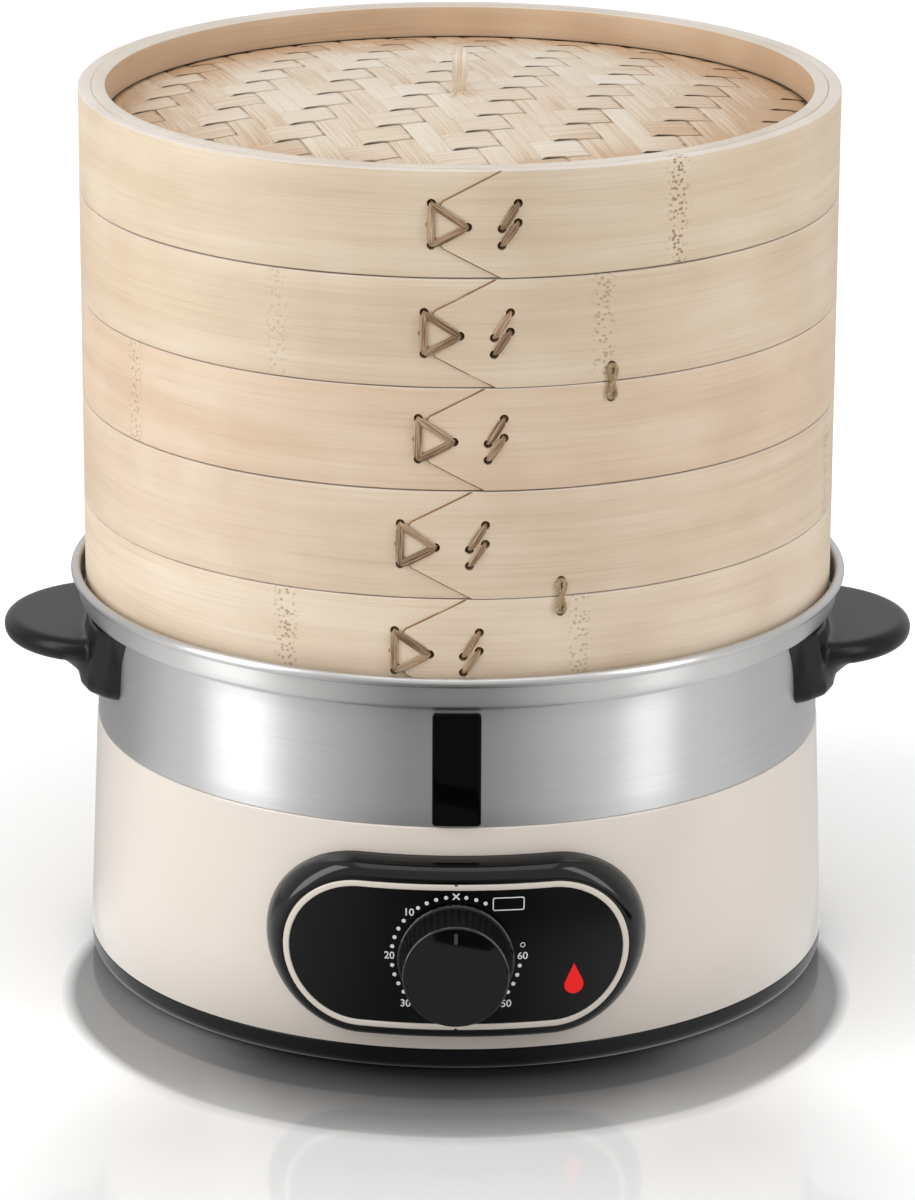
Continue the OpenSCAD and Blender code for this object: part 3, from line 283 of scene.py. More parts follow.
def mark(piece, name, values):
    """Store a value at each vertex, for a finish to read."""
    for item, value in zip(piece.data.attributes.new(name, "FLOAT", "POINT").data, values):
        item.value = value


def arc(cx, cy, radius, start, end, steps):
    """Points on an arc, from one angle in degrees to another."""
    turns = [radians(start + (end - start) * i / steps) for i in range(steps + 1)]
    return [(cx + radius * cos(a), cy + radius * sin(a)) for a in turns]


def on_ring(angle, radius, height):
    """A point at an angle in radians from the front, counted towards +X."""
    return (radius * sin(angle), -radius * cos(angle), height)


def smoothstep(x):
    x = min(max(x, 0.0), 1.0)
    return x * x * (3 - 2 * x)


# ---------- finishes ----------

def linear(code):
    """An sRGB hex colour as linear values."""
    parts = [int(code[i:i + 2], 16) / 255 for i in (1, 3, 5)]
    return (*[c / 12.92 if c <= 0.04045 else ((c + 0.055) / 1.055) ** 2.4 for c in parts], 1.0)


# The settings of a node that mixes colours, and which output it gives
RGBA = {"data_type": "RGBA", "out": 2}


def fill(made, node, inputs):
    """Link or set a node's inputs, by name or number or in order; a hex code becomes a colour."""
    for key, value in enumerate(inputs) if isinstance(inputs, list) else inputs.items():
        if isinstance(value, bpy.types.NodeSocket):
            made.node_tree.links.new(value, node.inputs[key])
        else:
            node.inputs[key].default_value = linear(value) if isinstance(value, str) else value


def add(made, kind, inputs=None, out=0, stops=(), **settings):
    """Add one node with its settings, its values and its links, and give one of its outputs."""
    node = made.node_tree.nodes.new("ShaderNode" + kind)
    for key, value in settings.items():
        setattr(node, key, value)
    fill(made, node, inputs or {})
    if stops:
        ramp = node.color_ramp.elements
        while len(ramp) < len(stops):
            ramp.new(0.5)
        for element, (position, colour) in zip(ramp, stops):
            element.position = position
            element.color = linear(colour)
    return node.outputs[out] if node.outputs else None


def feed(made, **inputs):
    """Set or link the inputs of a finish's shader."""
    fill(made, made.node_tree.nodes["Principled BSDF"],
         {key.replace("_", " "): value for key, value in inputs.items()})


def finish(name, **constants):
    """A new material with its shader's constant inputs set."""
    made = bpy.data.materials.new(name)
    made.use_nodes = True
    feed(made, **constants)
    return made


def bamboo(name, tones, shift, ply_r=None, roughness=0.42):
    """Split bamboo, planed and oiled: long fibres round the ring, soft tones and dotted joints."""
    made = finish(name, Roughness=roughness, IOR=1.48)
    place = add(made, "TexCoord", out="Object")
    # Fibres about 0.9 mm high and 60 mm long, coarser than life so that they show
    fine = add(made, "Mapping", {"Vector": place, "Location": shift, "Scale": (16, 16, 1100)})
    fibre = add(made, "TexNoise", {"Vector": fine, "Scale": 1.0, "Detail": 4.0, "Roughness": 0.62})
    # Broad tones in bands 9 mm high and 200 mm long, and clouds
    wide = add(made, "Mapping", {"Vector": place, "Location": shift, "Scale": (5, 5, 110)})
    tone = add(made, "TexNoise", {"Vector": wide, "Scale": 1.0, "Detail": 2.0, "Roughness": 0.5})
    cloud = add(made, "TexNoise", {"Vector": place, "Scale": 26.0, "Detail": 2.0, "Roughness": 0.5})
    both = add(made, "Math", [tone, cloud], operation="ADD")
    half = add(made, "Math", [both, 0.5], operation="MULTIPLY")
    base = add(made, "ValToRGB", {"Fac": half}, stops=list(zip((0.34, 0.5, 0.66), tones)))
    streak = add(made, "ValToRGB", {"Fac": fibre},
                 stops=[(0.30, "#ddd0c0"), (0.46, "#f6f2ed"), (0.60, "#ffffff")])
    colour = add(made, "Mix", {0: 0.34, 6: base, 7: streak}, **RGBA,
                 blend_type="MULTIPLY")
    # Joints of the cane: dots and short dashes of about 1 mm where the joint attribute is high
    spot = add(made, "Mapping", {"Vector": place, "Location": shift, "Scale": (520, 520, 620)})
    pits = add(made, "TexVoronoi", {"Vector": spot, "Scale": 1.0, "Randomness": 1.0}, "Distance")
    pit = add(made, "MapRange", [pits, 0.28, 0.44, 1.0, 0.0])
    joint = add(made, "Attribute", out="Fac", attribute_name="joint")
    marked = add(made, "Math", [pit, joint], operation="MULTIPLY")
    colour = add(made, "Mix", {0: marked, 6: colour, 7: "#9d8061"}, **RGBA)
    if ply_r:
        # The thin dark line between the two turns, seen on the edges
        flat = add(made, "Mapping", {"Vector": place, "Scale": (1, 1, 0)})
        radius = add(made, "VectorMath", [flat], "Value", operation="LENGTH")
        line = add(made, "Math", [radius, ply_r * MM, 0.12 * MM], operation="COMPARE")
        colour = add(made, "Mix", {0: line, 6: colour, 7: "#b39c80"}, **RGBA)
    rough = add(made, "MapRange", [fibre, 0.0, 1.0, roughness - 0.06, roughness + 0.14])
    depth = add(made, "Math", [marked, -1.6, fibre], operation="MULTIPLY_ADD")
    bump = add(made, "Bump", {"Height": depth, "Strength": 0.35, "Distance": 0.18 * MM})
    feed(made, Base_Color=colour, Roughness=rough, Normal=bump)
    return made


def strip_finish(name, tones, across, fibre_mm, roughness, contrast, hollow=None):
    """Shaved cane or bamboo strip: fibres run along its UV map; each strip has its own tone."""
    made = finish(name, Roughness=roughness, IOR=1.48)
    place = add(made, "UVMap")
    lines = add(made, "Mapping", {"Vector": place, "Scale": (across, 1000 / fibre_mm, 1)})
    fibre = add(made, "TexNoise", {"Vector": lines, "Scale": 1.0, "Detail": 3.0, "Roughness": 0.6})
    tone = add(made, "Attribute", out="Fac", attribute_name="tone")
    middle = add(made, "Math", [fibre, 0.5], operation="SUBTRACT")
    share = add(made, "Math", [middle, contrast, tone], operation="MULTIPLY_ADD")
    colour = add(made, "ValToRGB", {"Fac": share}, stops=list(zip((0.2, 0.5, 0.8), tones)))
    if hollow:
        # Painted shade: a dark colour mixed in where a strip dives under the next one, in the slits
        # and under the rim hoop
        dive_shade = add(made, "Attribute", out="Fac", attribute_name="dive_shade")
        colour = add(made, "Mix", {0: dive_shade, 6: colour, 7: hollow}, **RGBA)
    bump = add(made, "Bump", {"Height": fibre, "Strength": 0.5, "Distance": 0.25 * MM})
    feed(made, Base_Color=colour, Normal=bump)
    return made


def worn(made, pattern, dark, light, roughness, wear):
    """Let one pattern vary a finish's colour and its gloss."""
    low = max(roughness - wear, 0.02)
    feed(made, Base_Color=add(made, "Mix", {0: pattern, 6: dark, 7: light}, **RGBA),
         Roughness=add(made, "MapRange", [pattern, 0.0, 1.0, low, roughness + wear]))


def metal(name, dark, light, roughness, wear=0.06, anisotropic=0.0, brush=None):
    """Sheet metal, polished, or brushed round the axis in fine level lines, brush mm apart."""
    # A quarter turn lays the blur across the brush lines, which run level
    made = finish(name, Metallic=1.0, Roughness=roughness, Anisotropic=anisotropic,
                  Anisotropic_Rotation=0.25)
    place = add(made, "TexCoord", out="Object")
    scale = (7, 7, 1000 / brush) if brush else (180, 180, 180)
    lines = add(made, "Mapping", {"Vector": place, "Scale": scale})
    grain = add(made, "TexNoise", {"Vector": lines, "Scale": 1.0, "Detail": 4.0, "Roughness": 0.65})
    worn(made, grain, dark, light, roughness, wear)
    if brush:
        around = add(made, "Tangent", direction_type="RADIAL", axis="Z")
        bump = add(made, "Bump", {"Height": grain, "Strength": 0.12, "Distance": 0.04 * MM})
        feed(made, Tangent=around, Normal=bump)
    return made


def moulded(name, dark, light, roughness, grain_mm=0.6, depth=0.02, wear=0.05, **constants):
    """Plastic, rubber, paint or print: a skin texture of one grain size, and faint uneven gloss."""
    made = finish(name, Roughness=roughness, **constants)
    place = add(made, "TexCoord", out="Object")
    skin = add(made, "TexNoise", {"Vector": place, "Scale": 1000 / grain_mm, "Detail": 2.0})
    cloud = add(made, "TexNoise", {"Vector": place, "Scale": 35.0, "Detail": 3.0})
    worn(made, cloud, dark, light, roughness, wear)
    feed(made, Normal=add(made, "Bump", {"Height": skin, "Strength": 0.4, "Distance": depth * MM}))
    return made


# Each ring's piece, node and body, its heights, the bearing of its lap and its seed; then the name,
# tones and shift of its split bamboo, the bearings and strengths of its cane joints, and where the
# twine's hole is. The bamboo is pale and silky, and steam has tinted each ring a little otherwise.
TIE_H, UPPER_TIE, LOWER_TIE = 6.2, 22.5, 15.1
RINGS = [
    ("band_lid", "lid_band", "lid", LID_Z, LID_END_Z, 1.2, 1.0,
     "lid", ("#dac5a9", "#e2ceb3", "#e8d7bf"), (0.0, 0.0, 0.0), [(33.1, 1.0)], None),
    ("band_upper_top", "upper_basket_top_band", "upper_basket", UPPER_SPLIT_Z, UPPER_END_Z, 0.2,
     5.0, "first", ("#dbc5a9", "#e3ceb3", "#e9d7c0"), (0.3, 0.1, 0.7),
     [(21.2, 0.6), (-27.1, 0.3), (150, 0.7)], (UPPER_TIE, UPPER_SPLIT_Z + TIE_H)),
    ("band_upper_bottom", "upper_basket_bottom_band", "upper_basket", UPPER_Z, UPPER_SPLIT_Z, -0.6,
     9.0, "second", ("#dec3a8", "#e6cdb2", "#ecd7c0"), (0.9, 0.4, 0.2),
     [(-56, 0.55), (110, 0.6)], (UPPER_TIE, UPPER_SPLIT_Z - TIE_H)),
    ("band_lower_top", "lower_basket_top_band", "lower_basket", LOWER_SPLIT_Z, LOWER_END_Z, -3.2,
     13.0, "third", ("#dcc6aa", "#e5cfb5", "#ebd9c2"), (1.7, 0.8, 0.5),
     [(-140, 0.9), (75, 0.6)], (LOWER_TIE, LOWER_SPLIT_Z + TIE_H)),
    ("band_lower_bottom", "lower_basket_bottom_band", "lower_basket", LOWER_Z, LOWER_SPLIT_Z, -4.0,
     17.0, "fourth", ("#e3cdb4", "#ecd8bf", "#f2e1cc"), (2.6, 1.1, 0.9),
     [(18.0, 0.5), (-25.9, 0.7), (170, 0.8)], (LOWER_TIE, LOWER_SPLIT_Z - TIE_H)),
]
PLY_R, HOOP_PLY_R = 147.4, 141.8
band_finishes = [bamboo("bamboo_split_" + ring[7], ring[8], ring[9], PLY_R) for ring in RINGS]
# The inner hoops are steamed browner
hoop_bamboo = bamboo("bamboo_hoop_steamed", ("#ccb092", "#d7bb9d", "#e0c8ab"), (3.1, 1.9, 0.3),
                     HOOP_PLY_R)
hoop_edge = bamboo("bamboo_hoop_edge_sawn", ("#e0d4c5", "#e8ddd0", "#efe6db"), (2.1, 0.9, 0.3))
board_bamboo = bamboo("bamboo_board_planed", ("#cfb48f", "#dcc4a2", "#e5d0b2"), (4.4, 0.6, 0.4))
# Edges that face upwards are given a paler finish than the faces
edge_bamboo = bamboo("bamboo_edge_planed", ("#e3d8cc", "#ebe1d7", "#f1e8e0"), (0.6, 2.2, 0.1))
# Cut ends are painted a dull dark brown, for their open pores and as painted shade in the step of
# the lap
cut_and_shaded_bamboo = bamboo("bamboo_end_cut_painted_shade", ("#7a5a39", "#886644", "#96734e"), (1.4, 0.2, 0.9),
                    roughness=0.6)
# Shaved strips: wide matt ones for the top, whose last colour is their painted shade, and a
# smoother one for the loop
woven_bamboo = strip_finish("bamboo_strip_woven", ("#cfab88", "#e9d7c0", "#f4e9da"), 18, 0.9, 0.5,
                            0.9, "#2e1f13")
peeled_bamboo = strip_finish("bamboo_strip_peeled", ("#bda588", "#e2d1bb", "#f6ecdf"), 30, 0.5, 0.4,
                             1.1)
# Dried rattan is strongly ribbed, brown and straw; jute is dull and hairy
rattan = strip_finish("rattan_split_dried", ("#64482f", "#9c7c5d", "#d0b596"), 60, 0.42, 0.5, 2.2)
twine = strip_finish("jute_twine_twisted", ("#7c6547", "#ab9270", "#cdb796"), 400, 0.25, 0.8, 1.4)

# Level brush lines stretch its lights upright; spun steel is smoother and paler
brushed_steel = metal("stainless_steel_brushed", "#b8b8b8", "#d4d4d4", 0.36, 0.05, 0.9, 0.35)
spun_steel = metal("stainless_steel_spun", "#c3c2c1", "#cccbca", 0.33, 0.02, 0.8, 0.25)
# Zinc plate is bluish and softly bright; cast alloy is dull grey, rolled alloy brighter
screw_steel = metal("steel_zinc_plated", "#a9abae", "#c3c5c8", 0.3)
cast_alloy = metal("aluminium_die_cast", "#a5a6a6", "#bdbdbc", 0.5, 0.1)
sheet_alloy = metal("aluminium_rolled", "#b9babb", "#cccccd", 0.34, 0.08)
# Stamped brass is warm yellow, nickel plate a clear warm grey, the heated sheath a dark oxide brown
brass = metal("brass_stamped", "#b08d3f", "#c9a75a", 0.3)
nickel = metal("nickel_plated", "#b4b0a6", "#cbc7bd", 0.2)
element_sheath = metal("nickel_alloy_sheath_oxidised", "#4d4a46", "#6a655e", 0.45, 0.1)

# Stoved paint under a clear coat: smooth, with a soft second gloss
cream_paint = moulded("steel_painted_cream", "#ece1d6", "#eee3d8", 0.28, 1.2, 0.006, 0.01, IOR=1.5,
                      Coat_Weight=0.7, Coat_Roughness=0.18)
# Polished black mouldings mirror the set sharply; the plate's printed back is a shade deeper
gloss_black = moulded("abs_piano_black", "#050505", "#070707", 0.1, 2.0, 0.003, 0.02, IOR=1.42)
plate_black = moulded("acrylic_plate_black", "#070707", "#090909", 0.2, 1.5, 0.002, 0.02, IOR=1.34)
# Lacquer over plastic, a warm pale metal colour with a satin gloss
champagne = moulded("abs_champagne_lacquer", "#e3d9cc", "#e9e0d4", 0.3, 1.0, 0.003, 0.02)
# The handles are satin black with a fine mould skin
phenolic = moulded("phenolic_moulded_black", "#090909", "#0c0c0c", 0.3, 0.5, 0.008, 0.03, IOR=1.3)
# The knob's face mirrors the set; the sides of its grooves are matt
knob_black = moulded("abs_moulded_black", "#0b0b0b", "#0d0d0d", 0.035, 1.6, 0.001, 0.01, IOR=1.62)
grip_black = moulded("abs_moulded_black_matt", "#0c0c0c", "#0f0f0f", 0.5, 0.8, 0.004, IOR=1.2)
# Polypropylene is waxy black, silicone rubber dead matt and greyer
tray_black = moulded("polypropylene_black", "#090909", "#0c0c0c", 0.3, 0.5, 0.012, IOR=1.3)
rubber = moulded("silicone_rubber_black", "#1b1b1b", "#232323", 0.7, 0.4, 0.02)
# So deeply smoked that only a faint gloss is seen
smoked = moulded("polycarbonate_smoked", "#050506", "#070708", 0.06, 3.0, 0.002, 0.02, IOR=1.22)
# The lens has a faint painted glow, as though the lamp behind it were on
red_lens = moulded("polycarbonate_red", "#d80808", "#e21010", 0.14, 1.0, 0.004, 0.03, IOR=1.4,
                   Emission_Color="#e81010", Emission_Strength=0.35)
lamp_glass = moulded("glass_neon_amber", "#d98a5a", "#e6a06e", 0.1, 1.0, 0.002)
# Natural nylon is milky; phenolic board is a dull brown
nylon = moulded("nylon_natural", "#d8d2bf", "#e2dccb", 0.5)
phenolic_brown = moulded("phenolic_brown", "#3d2f27", "#4a3a30", 0.45)
# Printing ink lies flat and dull
mark_grey = moulded("ink_grey_printed", "#3c3c3c", "#444444", 0.4, 0.3, 0.004)
print_white = moulded("ink_white_printed", "#f6f6f2", "#ffffff", 0.5, 0.3, 0.004)
# Silicone sleeves are softly dull, in the four usual colours
brown_wire, black_wire, blue_wire, earth_wire = [
    moulded("silicone_sleeve_" + colour, dark, light, 0.5) for colour, dark, light in (
        ("brown", "#5c3a22", "#6b4529"), ("black", "#161616", "#1e1e1e"),
        ("blue", "#1f4f9c", "#2a5dac"), ("green", "#4f8f2f", "#9fae2e"))]


# ---------- bamboo rings ----------

# Places of the lacing on a lap, along the strip and up from its middle
LACE_TRIANGLE = [(0.0, -0.8), (-13.5, 8.0), (-13.5, -8.0)]
LACE_PAIRS = [((18.8, 8.0), (12.8, -1.6)), ((18.8, 0.6), (12.8, -8.0))]
LACE_HOLES = LACE_TRIANGLE + [end for pair in LACE_PAIRS for end in pair]
LACE_STRAPS = [(LACE_TRIANGLE[k], LACE_TRIANGLE[(k + 1) % 3]) for k in range(3)] + LACE_PAIRS
HOLE_R = 1.75
TURN = tau * RING_R
# The strip runs on past one turn, thins to nothing over the last part of that, and begins to bulge
# before it, so that the outer turn lies over the rest by LAP_STEP
LAP_END, TAPER, BULGE_FROM, BULGE_OVER, LAP_STEP = 60.0, 15.0, 110, 85, 0.72
# Each band stops this short of its height at both edges, so that the seams show dark
SEAM = 0.13
# The outer turn's blunt point, and how much its cut slants through the strip, which shows as a line
POINT = [(15.0, 21.5), (-9.0, 8.8), (-15.2, 0.0), (-9.0, -8.8), (15.0, -21.5)]
SKIVE = -0.11
# Where the strip starts, its columns and rows of faces, and the rounding of its edges
START, COLUMNS, ROWS, EDGE_R = -16.0, 430, 6, 0.5
# A cane joint's half width; how much the faces and edges wave, as hand work does, and how near the
# edge that still shows
JOINT_W, FACE_WAVE, EDGE_WAVE, EDGE_REACH = 4.2, 0.22, 0.16, 3
# A strap's half width, its dive at each end, and the height, crown and ribs of its back
STRAP_HALF, STRAP_DIVE, STRAP_H, STRAP_CROWN, STRAP_RIB = 1.5, 3.0, 0.75, 0.38, 0.16


def band_depths(s):
    """How far the outer and inner faces lie under the ring's radius, at a place on the strip."""
    outer = LAP_STEP * smoothstep((s - TURN + BULGE_FROM) / BULGE_OVER)
    inner = BAND_T
    thinned = (BAND_T - LAP_STEP) / TAPER
    if s > TURN + LAP_END - TAPER:
        outer += thinned * (s - TURN - LAP_END + TAPER)
    if s < LAP_END:
        inner = LAP_STEP - 0.03 + thinned * max(s - LAP_END + TAPER, 0)
    return outer, max(inner, outer + 0.02)


def band(name, node, body, low, high, lap, seed, face_bamboo, joints, tied):
    """A strip of split bamboo, cut to a point, drilled and wound round with its ends lapped."""
    middle = (low + high) / 2
    whole = TURN + LAP_END - START
    strip = sheet(name, COLUMNS, ROWS, lambda u, v: (START + whole * u, 0,
                                                     low + SEAM + (high - low - 2 * SEAM) * v))
    edit(strip)
    everything()
    extrude(0, BAND_T, 0)
    face_out()
    edge_z = mm(low + SEAM, high - SEAM)
    round_edges(strip, EDGE_R, 3, lambda a, b: abs(a.z - b.z) < 1e-6 and abs(a.y - b.y) < 1e-6
                and min(abs(a.z - z) for z in edge_z) < 1e-5)
    for (s0, h0), (s1, h1) in zip(POINT, POINT[1:]):
        everything()
        away = Vector((h1 - h0, 0, s0 - s1)).normalized()
        away *= -1 if away.x > 0 else 1
        away.y = SKIVE
        bpy.ops.mesh.bisect(plane_co=mm(s0, 0, middle + h0), plane_no=away.normalized(),
                            use_fill=True, clear_outer=True)
    leave()
    places = [(s + turn, middle + h) for s, h in LACE_HOLES for turn in (0, TURN)]
    if tied:
        ahead = radians((tied[0] - lap) % 360) * RING_R
        places += [(ahead, tied[1])] + ([(ahead + TURN, tied[1])] if ahead < LAP_END else [])
    drills = [rod("drill", 20, HOLE_R, 30, (s, 2, z), ALONG_Y) for s, z in places]
    carve(strip, join("drills", drills))
    for face in strip.data.polygons:
        s, h = face.center.x / MM, face.center.z / MM - middle
        if any(hypot(s - hole[0], h - hole[1]) < HOLE_R + 0.15 for hole in LACE_HOLES):
            continue
        # The cut faces of the lap's point take the dark cut finish, which paints the shade of its
        # step
        if face.normal.x < -0.3 and abs(face.normal.y) < 0.3 and s < 16:
            face.material_index = 1
        elif face.normal.z > 0.6:
            face.material_index = 2
    levels = []
    for vertex in strip.data.vertices:
        s, z = vertex.co.x / MM, vertex.co.z / MM
        outer, inner = band_depths(s)
        depth = outer + (inner - outer) * min(max(vertex.co.y / MM / BAND_T, 0), 1)
        angle = radians(lap) + s / RING_R
        spot = Vector(on_ring(angle, 1.0, z / 60)) * 2.2 + Vector((seed, seed * 2, 0))
        depth += FACE_WAVE * (0.5 - 0.5 * noise.noise(spot))
        if min(high - z, z - low) < EDGE_REACH:
            z -= copysign(EDGE_WAVE, z - middle) * (1 + noise.noise(spot * 3)) * 0.5
        vertex.co = Vector(on_ring(angle, RING_R - depth, z)) * MM
        away = [radians((degrees(angle) - at + 180) % 360 - 180) for at, _ in joints]
        levels.append(max(strength * exp(-(off * RING_R / JOINT_W) ** 4)
                          for off, (_, strength) in zip(away, joints)))
    mark(strip, "joint", levels)
    settle(strip, body, [face_bamboo, cut_and_shaded_bamboo, edge_bamboo], "bamboo_band", node, angle=30)


def strap(start, end, lap, middle, rng):
    """A crowned strip of split rattan that dives into a hole at each end."""
    (s0, h0), (s1, h1) = start, end
    span = hypot(s1 - s0, h1 - h0)
    along = ((s1 - s0) / span, (h1 - h0) / span)
    whole = span + 2 * STRAP_DIVE
    half = STRAP_HALF + rng.uniform(-0.12, 0.1)

    def place(u, v):
        run = u * whole - STRAP_DIVE
        near = min(run + 0.4, span + 0.4 - run)
        # It narrows and sinks towards its holes
        width = half * (0.45 + 0.55 * smoothstep((near - 0.2) / 2.6))
        side = (v - 0.5) * 2 * width
        sink = 0.0 if near > 2.0 else (2.0 - near) ** 2 * 0.34
        run = min(max(run, -0.6), span + 0.6)
        # Its back is crowned, with a groove at every third row
        lift = STRAP_H - STRAP_CROWN * (2 * v - 1) ** 2 - STRAP_RIB * (int(round(v * 12)) % 3 == 0)
        s = s0 + along[0] * run - along[1] * side
        h = h0 + along[1] * run + along[0] * side
        return on_ring(radians(lap) + s / RING_R, RING_R + 0.05 + lift - sink, middle + h)

    piece = sheet("strap", 22, 12, place, mm(whole, 2 * half), (rng.random(), rng.random()))
    mark(piece, "tone", repeat(rng.uniform(0.35, 0.6)))
    modify(piece, "SOLIDIFY", thickness=0.6 * MM, offset=-1)
    return piece


def lacing(name, node, body, laps, seed):
    """The straps of the triangle and the slanting pair, on each lap of one body's rings."""
    rng = random.Random(seed)
    straps = [strap(start, end, lap, middle, rng)
              for lap, middle in laps for start, end in LACE_STRAPS]
    settle(join(name, straps), body, rattan, "rattan_lace", node, angle=50)


def tie(name, node, body, angle, seam, seed):
    """Two turns of twisted twine through two holes, over the seam of the bands."""
    rng = random.Random(seed)
    strands = []
    reach, bow, twist_r, plies, ply_r = 6.6, 1.2, 0.42, 3, 0.55
    # It lies on the face, crosses itself at the seam and sinks into its holes
    stand, cross, sink = 1.0, 0.35, 3.4
    for side in (-1, 1):
        for ply in range(plies):
            points = []
            for i in range(49):
                t = i / 48
                twist = t * 20 + ply * tau / plies
                bulge = bow * sin(tau * t) * side
                lift = stand + cross * side * sin(pi * t) - sink * (abs(2 * t - 1) ** 8)
                points.append(on_ring(radians(angle) + (bulge + 0.5 * cos(twist)) / RING_R,
                                      RING_R + lift + twist_r * sin(twist),
                                      seam + reach * cos(pi * t)))
            strands.append(cord("strand", points, ply_r))
    piece = join(name, strands)
    layer = piece.data.uv_layers.active or piece.data.uv_layers.new(name="UVMap")
    for corner, loop in zip(layer.data, piece.data.loops):
        at = piece.data.vertices[loop.vertex_index].co
        corner.uv = (at.z, at.x + at.y)
    mark(piece, "tone", [rng.uniform(0.42, 0.58) for _ in piece.data.vertices])
    settle(piece, body, twine, "twine", node, angle=60)


def hoop(name, node, body, low, high, seed, notched=False, outer=HOOP_RO):
    """An inner hoop, turned smooth, with softened edges and, in a basket, notches for the rails."""
    edge, wave, play = 0.5, 0.18, 0.4
    corners = [(outer - edge, low + edge, -90), (outer - edge, high - edge, 0),
               (HOOP_RI + edge, high - edge, 90), (HOOP_RI + edge, low + edge, 180)]
    profile = [at for x, z, turn in corners for at in arc(x, z, edge, turn, turn + 90, 3)]
    piece = lathe(name, profile + profile[:1])
    for vertex in piece.data.vertices:
        if vertex.co.z > (low + high) / 2 * MM:
            spot = vertex.co * 14 + Vector((seed, 0, seed))
            vertex.co.z += wave * MM * noise.noise(spot)
    for y in RAIL_Y if notched else ():
        carve(piece, block("notch", (0, y, low + RAIL_H / 2), (320, RAIL_W + play, RAIL_H + play)))
    settle(piece, body, [hoop_bamboo, hoop_edge], "bamboo_hoop", node)
    second_finish(piece, lambda face: abs(face.normal.z) > 0.5)


def boards(name, node, body, low, thick, wide, places, along_x, reach):
    """Flat bamboo boards across the ring, their edges softened and their ends cut round."""
    made = []
    for place in places:
        centre, size = (0, place), (2 * RING_R, wide)
        if not along_x:
            centre, size = centre[::-1], size[::-1]
        board = block("board", centre + (low + thick / 2,), size + (thick,))
        axis = 0 if along_x else 1
        edit(board)
        round_edges(board, 0.6, 3, lambda a, b: abs(a[axis] - b[axis]) > RING_R * MM)
        leave()
        made.append(board)
    piece = join(name, made)
    carve(piece, rod("round", 192, reach, 40, (0, 0, low + thick / 2)), "INTERSECT")
    settle(piece, body, board_bamboo, "bamboo_slat", node)


for ring, face_bamboo in zip(RINGS, band_finishes):
    band(*ring[:7], face_bamboo, *ring[10:])
for body, seed in (("lid", 3), ("upper_basket", 4), ("lower_basket", 5)):
    laps = [(ring[5], (ring[3] + ring[4]) / 2) for ring in RINGS if ring[2] == body]
    lacing("lacing_" + body.split("_")[0], body + "_lacing", body, laps, seed)
tie("tie_upper", "upper_basket_tie", "upper_basket", UPPER_TIE, UPPER_SPLIT_Z, 6)
tie("tie_lower", "lower_basket_tie", "lower_basket", LOWER_TIE, LOWER_SPLIT_Z, 7)

hoop("hoop_rim", "lid_rim_hoop", "lid", MAT_TOP_Z + 0.1, LID_END_Z, 2.0, outer=HOOP_RO + 0.2)
hoop("hoop_lid", "lid_hoop", "lid", LID_Z + HOOP_LIFT, MAT_TOP_Z - 2.7, 4.0)
hoop("hoop_upper", "upper_basket_hoop", "upper_basket", UPPER_Z + HOOP_LIFT, UPPER_END_Z + NEST_H,
     6.0, True)
hoop("hoop_lower", "lower_basket_hoop", "lower_basket", LOWER_Z + HOOP_LIFT, LOWER_END_Z + NEST_H,
     8.0, True)
SLAT_T, SLAT_W, SLAT_PITCH = 2.8, 14, 19.5
for basket, base_z in (("upper", UPPER_Z), ("lower", LOWER_Z)):
    body = basket + "_basket"
    boards("slats_" + basket, body + "_slats", body, base_z + HOOP_LIFT + RAIL_H, SLAT_T, SLAT_W,
           [SLAT_PITCH * i for i in range(-6, 7)], False, HOOP_RI - 0.1)
    boards("rails_" + basket, body + "_rails", body, base_z + HOOP_LIFT, RAIL_H, RAIL_W,
           RAIL_Y, True, RING_R - BAND_T - 0.5)


# ---------- woven top ----------

WEAVE_R = 144.0
DOME_R = (HOOP_RI ** 2 + MAT_RISE ** 2) / (2 * MAT_RISE)
# Strips A run 20 degrees from +X, strips B 75 degrees below it; each goes over two and under two.
# Their direction, their pitch, where the first one starts, and the share of a cell that slopes
WEAVE = {"A": (radians(20), 19.2, -42.5, 0.24), "B": (radians(-75), 10.2, 5.26, 0.14)}
OTHER = {"A": "B", "B": "A"}
# How deep the mat lies under its dome, the strips' wave, and the fall and rise of their crown
MAT_SINK, WAVE_H, CROWN_FALL, CROWN_RISE = 1.15, 0.62, 0.2, 0.06
# A slit's width and depth, and its raised lip
SLIT_W, SLIT_DEPTH, SLIT_LIP = 1.1, 0.6, 0.3
# The tones brown from one radius over some width towards the rim, and the same along +X; the rim
# hoop's shade is painted on the mat in the same way
BROWN_R, BROWN_OVER, BROWN_X, BROWN_X_OVER, SHADE_R, SHADE_OVER = 78, 58, 20, 90, 135.5, 3.5


def across(kind, x, y):
    """How many strips of one kind a point lies from the first one."""
    turn, pitch, start, _ = WEAVE[kind]
    return (-sin(turn) * x + cos(turn) * y - start) / pitch


def a_is_over(i, j):
    return (j - i) % 4 in (3, 0)


def is_over(kind, index, cell):
    """Whether strip index of one kind goes over strip cell of the other."""
    return a_is_over(index, cell) if kind == "A" else not a_is_over(cell, index)


def height_of(kind, index, x, y):
    """+1 where a strip is on top, -1 where it is below, with a short slope between."""
    other = across(OTHER[kind], x, y)
    slope = WEAVE[kind][3]
    cell = floor(other)
    part = other - cell
    before, here, after = [1 if is_over(kind, index, cell + k) else -1 for k in (-1, 0, 1)]
    if part < slope:
        return (before + here) / 2 + (here - before) / 2 * sin(pi / 2 * part / slope)
    if part > 1 - slope:
        rise = sin(pi / 2 * (1 - part) / slope)
        return (here + after) / 2 - (after - here) / 2 * rise
    return here


